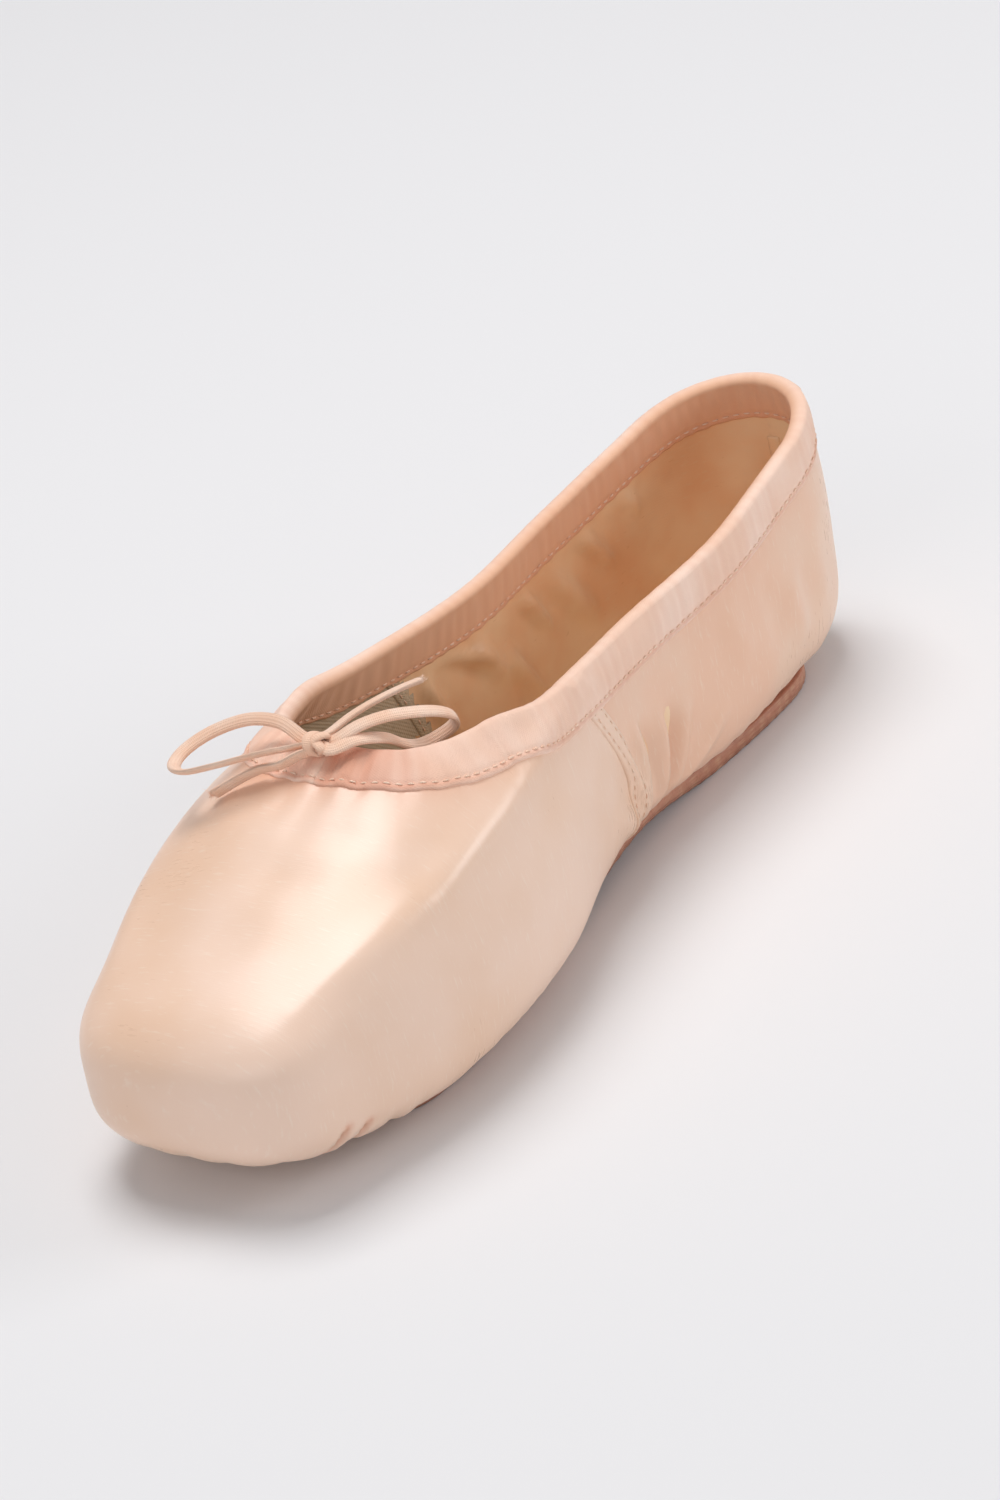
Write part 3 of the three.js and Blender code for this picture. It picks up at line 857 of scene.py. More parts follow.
def smooth_line(points, step):
    """Points evenly spaced by about step on a Catmull-Rom curve through the given points."""
    p = np.array([2 * points[0] - points[1], *points, 2 * points[-1] - points[-2]])
    t = np.linspace(0, len(points) - 1, 40 * len(points), endpoint=False)
    i, f = np.floor(t).astype(int), (t % 1)[:, None]
    p0, p1, p2, p3 = p[i], p[i + 1], p[i + 2], p[i + 3]
    line = 0.5 * (2 * p1 + (p2 - p0) * f + (2 * p0 - 5 * p1 + 4 * p2 - p3) * f**2
                  + (3 * p1 - p0 - 3 * p2 + p3) * f**3)
    line = np.concatenate([line, points[-1:]])
    run = np.concatenate([[0], np.cumsum(np.linalg.norm(np.diff(line, axis=0), axis=1))])
    even = np.linspace(0, run[-1], max(2, round(run[-1] / step)) + 1)
    return np.stack([np.interp(even, run, line[:, k]) for k in range(3)], -1), even


def carried_frames(line, first):
    """Tangents and side vectors along a line: each side is the last one, kept square to the line."""
    tangent = unit(np.gradient(line, axis=0))
    side = np.empty_like(line)
    held = np.asarray(first, float)
    for i, t in enumerate(tangent):
        held = held - t * held.dot(t)
        held = held / np.linalg.norm(held)
        side[i] = held
    return tangent, side, np.cross(tangent, side)


def capped(rows):
    """Rows with the first and the last one twice more, for the rings that close a cord's ends."""
    return np.concatenate([rows[:1], rows[:1], rows, rows[-1:], rows[-1:]])


def flat_cord(line, side, over, width, thickness, cap=True):
    """Rings of a flat cord: a superellipse of width by thickness, closed at both ends if cap."""
    angle = np.linspace(0, 2 * math.pi, CORD_SIDES, endpoint=False)
    square = 2 / CORD_POWER
    across = np.sign(np.cos(angle)) * np.abs(np.cos(angle)) ** square * width / 2
    up = np.sign(np.sin(angle)) * np.abs(np.sin(angle)) ** square * thickness / 2
    scale = np.ones(len(line))
    if cap:
        line, side, over = capped(line), capped(side), capped(over)
        scale = np.concatenate([[0, 0.8], scale, [0.8, 0]])
    ring = side[:, None] * across[None, :, None] + over[:, None] * up[None, :, None]
    return line[:, None] + ring * scale[:, None, None]


def make_drawstring(name, parts, nodes):
    """One half of the drawstring as a braided flat cord along its route."""
    steps = [step for part in parts for step in part]
    line, run = smooth_line(KNOT + np.array(steps) * MM, 0.5 * MM)
    _, side, over = carried_frames(line, (0, 0, 1))
    rings = flat_cord(line, side, over, CORD_WIDTH, CORD_THICKNESS)
    cloth = cloth_grid(capped(run), np.linspace(0, CORD_GIRTH, CORD_SIDES))
    piece = new_grid(name, rings, cotton, {"cloth": cloth}, ring=True)
    hand_over(piece, "drawstring_cotton", *nodes)
    return piece, line, run[-1]


left_cord, left_line, left_length = make_drawstring(
    "drawstring_left", (SLIT_LEFT, LOOP_LEFT, TURN_LEFT, END_LEFT),
    ("drawstring_loop_left", "drawstring_end_left"),
)
right_cord, right_line, right_length = make_drawstring(
    "drawstring_right", (SLIT_RIGHT, LOOP_RIGHT, TURN_RIGHT, END_RIGHT),
    ("drawstring_loop_right", "drawstring_end_right"),
)
print("drawstring lengths", round(left_length, 4), round(right_length, 4))

# %% [markdown]
# The knot is what is left when two flat cords are pulled tight round each other: a few turns of
# the same cord, one over another. Each turn is a closed ring of flat cord, a little askew.


# %% The knot
KNOT_TURNS = [  # middle, half sizes along and over the turn, lean and twist in degrees
    dict(at=(-0.5, 0.0, 0.0), half=(2.35, 1.85), lean=8, twist=-14),
    dict(at=(1.0, 0.1, 0.1), half=(2.1, 1.7), lean=-24, twist=16),
    dict(at=(0.1, -0.3, 0.0), half=(2.75, 1.25), lean=66, twist=4),
]
KNOT_RINGS = 48
KNOT_TURN_LENGTH = 13 * MM
KNOT_CORD_WIDTH = 2.1 * MM
KNOT_CORD_THICKNESS = 1.1 * MM


def turned(points, axis, degrees):
    """Points turned about an axis through the origin, 0, 1 or 2."""
    a, b = [k for k in range(3) if k != axis]
    c, s = math.cos(math.radians(degrees)), math.sin(math.radians(degrees))
    out = points.copy()
    out[..., a] = c * points[..., a] - s * points[..., b]
    out[..., b] = s * points[..., a] + c * points[..., b]
    return out


def knot_turn(at, half, lean, twist):
    """A ring of cord round the X axis: an ellipse in Y and Z, then leant and twisted."""
    angle = np.linspace(0, 2 * math.pi, KNOT_RINGS, endpoint=False)
    waver, height = 0.25 * np.sin(2 * angle), half[1] * np.sin(angle)
    line = np.stack([waver, half[0] * np.cos(angle), height], -1) * MM
    out = unit(line * np.array([0, 1, 1]))
    side = np.broadcast_to([1.0, 0, 0], line.shape)
    rings = flat_cord(line, side, out, KNOT_CORD_WIDTH, KNOT_CORD_THICKNESS, cap=False)
    return turned(turned(rings, 2, lean), 0, twist) + KNOT + np.array(at) * MM


def make_knot():
    """All turns of the knot as one mesh, which stands for the solid knot."""
    turns = np.stack([knot_turn(**turn) for turn in KNOT_TURNS])
    faces = grid_faces(KNOT_RINGS, CORD_SIDES, ring=True, closed=True)
    faces = repeated(faces, KNOT_RINGS * CORD_SIDES, len(turns))
    along, girth = np.linspace(0, KNOT_TURN_LENGTH, KNOT_RINGS), np.linspace(0, CORD_GIRTH, CORD_SIDES)
    cloth = np.broadcast_to(cloth_grid(along, girth), turns.shape)
    piece = weld(new_object("drawstring_tied_knot", turns, faces, cotton, {"cloth": cloth}))
    return hand_over(piece, "drawstring_cotton", "drawstring_knot")


knot = make_knot()

# %% [markdown]
# A cut cotton braid frays: short single fibres stand out of its end in a brush. There are a few
# dozen of them, each a bent three-sided needle, joined in one mesh for each end.


# %% Frayed ends
FIBRES = 34
FIBRE_RADIUS = 0.07 * MM
FIBRE_TAPER = np.array([1, 1, 0.8, 0.1])
FIBRE_SIDES = 3


def make_fray(name, line, seed):
    """Needles out of the end of a cord: each starts within its width and bends to one side."""
    draw = np.random.default_rng(seed)
    tangent, side, over = (v[-1] for v in carried_frames(line, (0, 0, 1)))
    place = draw.uniform(-0.5, 0.5, (FIBRES, 2)) * np.array([CORD_WIDTH, CORD_THICKNESS]) * 0.8
    lean = draw.normal(0, 0.35, (FIBRES, 2))
    length = draw.uniform(0.7, 1.9, FIBRES)[:, None, None] * MM
    rings = len(FIBRE_TAPER)
    step = np.linspace(0, 1, rings)[None, :, None]
    forward = tangent * (length * step - 0.3 * MM)
    spread = side * (place[:, :1, None] + lean[:, :1, None] * length * step**2)
    spread = spread + over * (place[:, 1:, None] + lean[:, 1:, None] * length * step**2)
    middle = line[-1] + forward + spread
    angle = np.linspace(0, 2 * math.pi, FIBRE_SIDES, endpoint=False)
    ring = side * np.cos(angle)[:, None] + over * np.sin(angle)[:, None]
    radius = (FIBRE_RADIUS * FIBRE_TAPER)[None, :, None, None]
    needles = middle[:, :, None] + ring[None, None] * radius
    faces = repeated(grid_faces(rings, FIBRE_SIDES, ring=True), rings * FIBRE_SIDES, FIBRES)
    piece = new_object(name, needles, faces, cotton, {"cloth": np.zeros(needles.shape)})
    with opened(piece) as work:
        bmesh.ops.holes_fill(work, edges=work.edges, sides=FIBRE_SIDES)
        bmesh.ops.recalc_face_normals(work, faces=work.faces)
    return hand_over(piece, "drawstring_cotton")


left_fray = make_fray("drawstring_fray_left", left_line, seed=3)
right_fray = make_fray("drawstring_fray_right", right_line, seed=5)

# %% [markdown]
# The upper is covered by casting rays. From the middle of each rib a fan of rays goes out to the
# last, and each ray is one point of the mesh. In the rounded ends the fan leans over until it
# closes in a point, on the platform and on the back of the heel, where the cloth is plain. A mesh
# that follows the last's own angles would pinch at the top of each end.


# %% Rays from the middle of the last
REACH = 70 * MM
END_ROWS, STRAIGHT_ROWS, RAYS_UP = 240, 500, 241  # how finely lengths are measured before spacing


def ray_points(s, lean, angle, grow):
    """Where rays leave the last: from the rib at s, leaning along the shoe, angle up from level."""
    s, lean, angle = np.broadcast_arrays(s, lean, angle)
    base = np.stack([np.zeros_like(s), LENGTH / 2 - s, rib_widest(s)], -1)
    way = np.stack([np.cos(lean) * np.cos(angle), -np.sin(lean), np.cos(lean) * np.sin(angle)], -1)
    return on_last(base, way, grow, 0.0, REACH)


def run_length(points):
    """Distance along the last but one axis of an array of points."""
    steps = np.linalg.norm(np.diff(points, axis=-2), axis=-1)
    return np.concatenate([np.zeros(steps.shape[:-1] + (1,)), np.cumsum(steps, axis=-1)], -1)


def fan_rows(grow, step):
    """s and lean of rows that are evenly spaced along the shoe's side."""
    quarter = np.linspace(0, math.pi / 2, END_ROWS)
    heel, toe = HEEL_END["centre"], TOE_END["centre"]
    straight = np.linspace(heel, toe, STRAIGHT_ROWS)[1:-1]
    s = np.concatenate([np.full(END_ROWS, heel), straight, np.full(END_ROWS, toe)])
    lean = np.concatenate([-quarter[::-1], 0 * straight, quarter])
    run = run_length(ray_points(s, lean, 0.0, grow))
    even = np.linspace(0, run[-1], round(run[-1] / step) + 1)
    return np.interp(even, run, s), np.interp(even, run, lean)


def fan_grid(grow, step, around, keep):
    """Rings of points on the last, evenly spaced both ways, and which of the rows are kept.

    keep takes the s of each ring's side point. A ring starts under the sole and goes up the +X
    side, over the top and down the -X side.
    """
    s, lean = fan_rows(grow, step)
    side = s_of(ray_points(s, lean, 0.0, grow))
    s, lean = s[keep(side)], lean[keep(side)]
    dense = np.linspace(-math.pi / 2, math.pi / 2, RAYS_UP)
    run = run_length(ray_points(s[:, None], lean[:, None], dense[None], grow))
    share = np.linspace(0, 1, around // 2 + 1)
    angle = np.stack([np.interp(share * r[-1], r, dense) for r in run])
    right = ray_points(s[:, None], lean[:, None], angle, grow)
    left = right[:, -2:0:-1] * MIRROR
    girth = share * run[:, -1:]
    turn = np.concatenate([girth, -girth[:, -2:0:-1]], axis=1)
    points = np.concatenate([right, left], axis=1)
    return points, np.stack([s_of(points), turn, 0 * turn], -1)


def rib_side(s, z):
    """Half breadth of the last at s and height z, in its straight part."""
    half, widest, below, above, lower, upper = rib_at(s, 0)
    low = z < widest
    power = np.where(low, lower, upper)
    level = np.clip(np.abs(z - widest) / np.where(low, below, above), 0, 1)
    return half * (1 - level**power) ** (1 / power)


def rib_height(s, x):
    """Height of the top of the last at s and breadth x, in its straight part."""
    half, widest, _, above, _, upper = rib_at(s, 0)
    return widest + above * (1 - np.clip(np.abs(x) / half, 0, 1) ** upper) ** (1 / upper)


# %% [markdown]
# Cloth on a last is never quite smooth. The creases here are placed in the shoe's own
# millimetres, as soft ridges and troughs: a ridge is a line with a bell-shaped section and a
# shallow trough on each side, and it fades at both ends. They are added up for every point at
# once, so the same sum also tells a seam band or a stitch how high the satin lies under it.


# %% Soft ridges and troughs
SEAM_HEIGHTS = np.array([3, 8, 15, 25, 34, 44, 50, 60]) * MM
SEAM_PLACES = np.array([108.5, 108, 107.5, 109, 112.5, 118, 121, 126]) * MM

# Sides: s and z of both ends, half width, height, and the side, 1 for +X and -1 for -X.
SIDE_CREASES = [
    (101, 8, 114, 36, 2.2, 1.1, 1),
    (99, 8, 106, 37, 2.0, 1.0, 1),
    (100, 8, 101, 36, 1.9, -0.8, 1),
    (97, 8, 94, 34, 2.4, 1.3, 1),
    (96, 8, 88, 33, 2.2, -0.8, 1),
    (94, 8, 82, 30, 2.6, 1.1, 1),
    (91, 8, 68, 20, 2.4, 0.9, 1),
    (104, 9, 122, 24, 3.0, 0.7, 1),
    (100, 9, 111, 34, 2.4, 1.1, -1),
    (98, 8, 103, 35, 2.0, -0.7, -1),
    (96, 8, 97, 36, 2.3, 1.1, -1),
    (93, 8, 85, 28, 2.8, 0.9, -1),
    (89, 8, 68, 22, 2.6, 0.7, -1),
    (40, 34, 34, 14, 4.0, 0.7, 1),
    (50, 40, 44, 18, 4.5, -0.6, 1),
    (66, 40, 58, 22, 4.5, 0.6, 1),
    (28, 36, 22, 16, 4.5, 0.4, 1),
    (44, 36, 38, 16, 4.5, 0.7, -1),
    (62, 40, 54, 22, 5.0, -0.6, -1),
    (222, 14, 225, 9, 0.9, -1.1, 1),
    (217, 12.5, 219.5, 8.5, 0.9, -0.9, 1),
]
# Top of the vamp: x and s of both ends, half width and height.
TOP_CREASES = [
    (-13, 181.5, 14, 180.5, 3.2, -0.15),
    (-6, 187, 20, 185.5, 3.8, -0.18),
    (-20, 184, -15, 197, 3.8, -0.2),
    (26, 176, 30, 190, 3.6, -0.2),
    (-4, 197, 16, 198, 6.0, -0.1),
    (-18, 211, 10, 212, 6.0, -0.1),
]
# The edge between the vamp's top plane and its side plane: s and x.
VAMP_EDGE = [
    (128, 24.5), (144, 28.5), (160, 31), (174, 31.6), (188, 30.8), (202, 27.6), (214, 24), (222, 22),
]
CREASE_GAIN = 1.9
CREASE_FADE = 0.34  # share of a crease's length over which each of its ends fades
TROUGH_DEPTH, TROUGH_WIDTH = 0.42, 2.1  # of the trough beside a ridge, as shares of the ridge's own
SIDE_START = 6 * MM  # creases drawn on one side stop this far from the middle
# The darker satin at the toe tucks is painted shade.
TOE_TUCKS = 2  # the last rows of SIDE_CREASES are tucks at the toe, where the satin is also darker


def line_gap(place, a, b):
    """Distance of each place from the line a to b, and how far along it is, 0 to 1."""
    along = b - a
    share = np.clip((place - a) @ along / along.dot(along), 0, 1)
    return np.linalg.norm(place - a - share[..., None] * along, axis=-1), share


FROM_SIDE = np.array([0.0, 1.0, 1.0])
FROM_ABOVE = np.array([1.0, 1.0, 0.0])


def bell_at(gap, width):
    """A bell-shaped curve: 1 where gap is 0, falling to about a third where it is width."""
    return np.exp(-((gap / width) ** 2))


def crease(place, a, b, width, height, seen):
    """A bell-shaped ridge from a to b with a shallow trough beside it, fading at both ends.

    Distances are measured as seen from the side or from above, so that it doesn't matter how far
    the line's own straight way lies under a rounded surface.
    """
    gap, share = line_gap(place * seen, np.asarray(a) * seen, np.asarray(b) * seen)
    bell = bell_at(gap, width) - TROUGH_DEPTH * bell_at(gap, TROUGH_WIDTH * width)
    ends_fade = smooth(share / CREASE_FADE) * smooth((1 - share) / CREASE_FADE)
    return height * CREASE_GAIN * bell * ends_fade


def seam_place(z):
    """s of the side seam at height z."""
    return np.interp(z, SEAM_HEIGHTS, SEAM_PLACES)


def side_point(s, z, side):
    """The place on one side of the last at s and height z in millimetres."""
    return [side * float(rib_side(s * MM, z * MM)), LENGTH / 2 - s * MM, z * MM]


def top_point(x, s):
    """The place on top of the last at breadth x and s in millimetres."""
    return [x * MM, LENGTH / 2 - s * MM, float(rib_height(s * MM, x * MM))]


def side_creases(place, rows):
    """The sum of the creases drawn on the shoe's sides, in metres."""
    relief = np.zeros(place.shape[:-1])
    for s0, z0, s1, z1, width, height, side in rows:
        ends = side_point(s0, z0, side), side_point(s1, z1, side)
        here = side * place[..., 0] > SIDE_START
        relief += crease(place, *ends, width * MM, height * MM, FROM_SIDE) * here
    return relief


MAIN_GATHERS = (5.2 * MM, 1.0)  # spacing and seed: satin and binding gather together


def gathers(t, spacing, seed):
    """Uneven gathers along the collar: two waves near one spacing whose phases drift."""
    turns = COLLAR_LENGTH / spacing
    round_trip = 2 * math.pi * t
    drift = 2.4 * np.sin(round_trip * 5 + seed) + 1.7 * np.sin(round_trip * 13 + 2.3 * seed)
    first = np.sin(round_trip * round(turns) + drift)
    second = np.sin(round_trip * round(turns * 0.62) - 1.3 * drift + seed)
    return 0.6 * first + 0.4 * second


def from_throat(t):
    """Distance along the collar from the throat's front, either way."""
    return np.minimum(t, 1 - t) * COLLAR_LENGTH


def satin_relief(place):
    """How far the satin stands off the last at each place, in metres."""
    x, _, z = np.moveaxis(place, -1, 0)
    s = s_of(place)
    relief = side_creases(place, SIDE_CREASES)
    for x0, s0, x1, s1, width, height in TOP_CREASES:
        ends = top_point(x0, s0), top_point(x1, s1)
        above = smooth((z - 24 * MM) / (5 * MM))
        relief += crease(place, *ends, width * MM, height * MM, FROM_ABOVE) * above

    # The vamp's long edge stands out, and the planes beside it fall in.
    edge_gap = np.full(x.shape, 1.0)
    for (s0, x0), (s1, x1) in zip(VAMP_EDGE[:-1], VAMP_EDGE[1:]):
        ends = np.array([top_point(x0, s0), top_point(x1, s1)])
        for here in (place, place * MIRROR):
            edge_gap = np.minimum(edge_gap, line_gap(here, *ends)[0])
    ends_fade = smooth((s - 120 * MM) / (26 * MM)) * smooth((230 * MM - s) / (22 * MM))
    bell = bell_at(edge_gap, 3.6 * MM) - 0.75 * bell_at(edge_gap - 9 * MM, 7 * MM)
    relief += 0.75 * MM * bell * ends_fade

    # The drawstring gathers the satin below the binding, most of all near the throat.
    above, t = from_collar(place)
    below = np.clip(-above - BINDING_WIDTH + 1 * MM, 0, None)
    near = bell_at(from_throat(t), 26 * MM)
    pull = np.exp(-below / (3.2 * MM)) * (0.14 + 0.1 * near) + 0.08 * np.exp(-below / (9 * MM)) * near
    relief += pull * MM * gathers(t, *MAIN_GATHERS)

    # The satin puckers where it turns under the sole, and is pleated round the toe and the heel.
    hem = smooth((11 * MM - z) / (8 * MM))
    edge_run = s / (4.3 * MM) + 0.8 * np.sin(s / (9 * MM)) + 1.1 * np.sin(x / (6 * MM))
    relief += 0.2 * MM * hem * np.sin(math.pi * edge_run)
    front = np.arctan2(x, s - 192 * MM)
    toe = smooth((s - 200 * MM) / (8 * MM)) * smooth((13 * MM - z) / (6 * MM))
    pleat = np.abs(np.sin(13 * front + 0.7 * np.sin(5 * front)))
    relief += 0.8 * MM * toe * (pleat - 0.6)
    back = np.arctan2(x, 36 * MM - s)
    heel = smooth((30 * MM - s) / (8 * MM)) * smooth((10 * MM - z) / (5 * MM))
    relief += 0.5 * MM * heel * (np.abs(np.sin(9 * back)) - 0.6)

    # Slow unevenness everywhere, more on the quarters, and a groove along the side seam.
    slow = np.sin(x / (9 * MM) + 1.3 * np.sin(s / (23 * MM))) * np.sin(s / (14 * MM) + 0.9)
    slow += 0.7 * np.sin(z / (7 * MM) + s / (19 * MM) + 2 * np.sin(x / (17 * MM)))
    quarter = smooth((seam_place(z) + 6 * MM - s) / (12 * MM))
    relief += (0.07 + 0.16 * quarter) * MM * slow
    return relief - 0.25 * MM * bell_at(s - seam_place(z), 3.4 * MM)


def shade_and_tone_of(place):
    """Painted shade where the satin is gathered and in the toe tucks, a darker band near the sole, and
    the deeper tone behind the side seam, 0 to 1.
    """
    above, t = from_collar(place)
    near = bell_at(from_throat(t), 30 * MM)
    # Painted shade in the gathers below the binding, strongest near the throat.
    gather_shade = np.exp(-np.clip(-above - BINDING_WIDTH, 0, None) / (4 * MM)) * (0.25 + 0.75 * near)
    # Darker and duller near the sole.
    sole = smooth((8 * MM - place[..., 2]) / (6 * MM))
    # Painted shade in the toe tucks.
    for s0, z0, s1, z1, width, _, side in SIDE_CREASES[-TOE_TUCKS:]:
        ends = np.array([side_point(s0, z0, side), side_point(s1, z1, side)]) * FROM_SIDE
        gap, _ = line_gap(place * FROM_SIDE, *ends)
        nick = bell_at(gap, width * MM) * (side * place[..., 0] > SIDE_START)
        gather_shade = np.maximum(gather_shade, 1.6 * nick)
    behind = smooth((seam_place(place[..., 2]) - s_of(place)) / (3 * MM))
    return np.stack([gather_shade, sole, behind], -1)


print("relief at the vamp's edge", satin_relief(np.array([top_point(31, 180)])))

# %% [markdown]
# Real satin is cut as a vamp and two quarters, sewn at the side seams and up the heel. The pieces
# here are cut the same way: each is a part of the same cast surface, cut along the seam line,
# pushed in and out by the creases, and given the cloth's thickness. The lasted margin turns under
# the sole and ends a little way in, where the outsole covers it.

# %% The satin pieces
SIDES = ((1, "left"), (-1, "right"))
SATIN_THICKNESS = 0.45 * MM
SEAM_OVERLAP = 1.2 * MM
MARGIN = 8 * MM
COLLAR_CUT = -3 * MM  # cloth ends this far below the collar, hidden by the binding
QUARTER_SINK = 0.4 * MM  # a quarter lies this much lower where the vamp laps over it
OUTSOLE = [
    dict(at=0.08, half=15.8),
    dict(at=0.19, half=16.2),
    dict(at=0.36, half=14.8),
    dict(at=0.50, half=18.2),
    dict(at=0.65, half=24.6),
    dict(at=0.76, half=25.6),
    dict(at=0.88, half=21.6),
]
OUTSOLE_BACK = 18 * MM
OUTSOLE_FRONT = LENGTH - 30 * MM
OUTSOLE_ROUND = 20 * MM
OUTSOLE_POWER = 2.4
OUTSOLE_EDGE = 0.9 * MM
outsole_half = column(OUTSOLE, "half", MM)


def sole_half(s, inset=0.0):
    """Half breadth of the sole's outline drawn in by inset, 0 past its ends.

    Both ends are rounded as (1 - r^n)^(1/n), with r from 0 to 1 at the tip.
    """
    end = np.minimum(s - OUTSOLE_BACK - inset, OUTSOLE_FRONT - inset - s)
    r = np.clip(1 - end / OUTSOLE_ROUND, 0, 1)
    return (outsole_half(s) - inset) * (1 - r**OUTSOLE_POWER) ** (1 / OUTSOLE_POWER)


def cut_panel(piece, low, wanted):
    """Cuts a cast sheet to a panel: below the collar, off the sole, and where wanted(place) says."""
    place, _ = points_of(piece)
    above, _ = from_collar(place)
    under = (place[:, 2] < low(s_of(place))) & (np.abs(place[:, 0]) < sole_half(s_of(place), MARGIN))
    cut_away(piece, (above > COLLAR_CUT) | under | ~wanted(place))


def on_vamp(place):
    return s_of(place) > seam_place(place[..., 2]) - SEAM_OVERLAP


def on_quarters(place):
    return s_of(place) < seam_place(place[..., 2]) + SEAM_OVERLAP


def vamp_rows(s):
    return s > SEAM_PLACES.min() - 4 * MM


def quarter_rows(s):
    return s < SEAM_PLACES.max() + 2 * MM


SATIN_STEP = 0.95 * MM
SATIN_AROUND = 212


def make_satin_piece(name, keep_rows, wanted, sink, *nodes):
    """A satin panel where wanted(place) is true: cut, creased, sunk at the seam and thickened."""
    points, _ = fan_grid(outwards(0), SATIN_STEP, SATIN_AROUND, keep_rows)
    piece = new_grid(name, points, satin, ring=True)
    cut_panel(piece, lambda s: 12 * MM, wanted)
    place, normal = turn_faces(piece, inside=False)
    keep_attribute(piece.data, "shade_and_tone", shade_and_tone_of(place))
    lapped = smooth((s_of(place) - seam_place(place[:, 2]) + 3 * MM) / (2 * MM))
    height = satin_relief(place) - sink * lapped
    move_points(piece, place + normal * height[:, None])
    thicken(piece, SATIN_THICKNESS)
    hand_over(piece, "satin", *nodes)


make_satin_piece("satin_vamp", vamp_rows, on_vamp, 0, "upper")
for side, word in SIDES:
    make_satin_piece(
        "satin_quarter_" + word, quarter_rows,
        lambda place: on_quarters(place) & (side * place[:, 0] > -0.4 * MM), QUARTER_SINK,
    )

# %% [markdown]
# The binding is a strip of bias tape folded over the collar, with the drawstring inside its fold.
# It is swept along the collar: the profile goes up the outside, over the rounded fold and down the
# inside. On each side it is laid by casting a line along the collar's normal onto the last, so it
# hugs the surface, and the gathers are waves along the collar that deepen towards the knot.


# %% The binding
BINDING_STEPS = 960
TAPE_OUT = 1.05 * MM
TAPE_HEM = 0.3 * MM
FOLD_RISE = 1.3 * MM
STITCH_SHIFT = 7.7 * MM


def collar_at(t):
    """Places, normals and up vectors of the collar at t."""
    index = np.asarray(t) * len(collar_place)
    low = np.floor(index).astype(int) % len(collar_place)
    share = (index % 1)[..., None]

    def between(rows):
        return rows[low] * (1 - share) + rows[(low + 1) % len(rows)] * share

    return between(collar_place), unit(between(collar_out)), unit(between(collar_up))


def beside_collar(t, shift, inside=False):
    """The satin's or the lining's surface at t, moved by shift up or down, and the normal there."""
    place, out, up = collar_at(t)
    return on_last(place + up * shift[..., None], out, inwards(0) if inside else outwards(0)), out


def strips_below(place):
    """How much the seam bands and the heel stay lift the tape that crosses them."""
    s = s_of(place)
    seam = smooth((3.4 * MM - np.abs(s - seam_place(place[..., 2]))) / (1.2 * MM))
    stay = smooth((10.2 * MM - np.abs(place[..., 0])) / (1.2 * MM))
    stay = stay * smooth((27 * MM - s) / (4 * MM))
    return 0.32 * MM * seam + 0.42 * MM * stay


def tape_height(depth):
    """How far the tape stands off the cloth at a depth below the collar, with the stitches' groove."""
    edge = smooth((BINDING_WIDTH - depth) / (0.7 * MM))
    full = 0.55 + 0.45 * smooth((7.6 * MM - depth) / (5 * MM))
    groove = 0.3 * MM * bell_at(depth - STITCH_SHIFT, 0.75 * MM)
    return TAPE_HEM + (TAPE_OUT - TAPE_HEM) * edge * full - groove


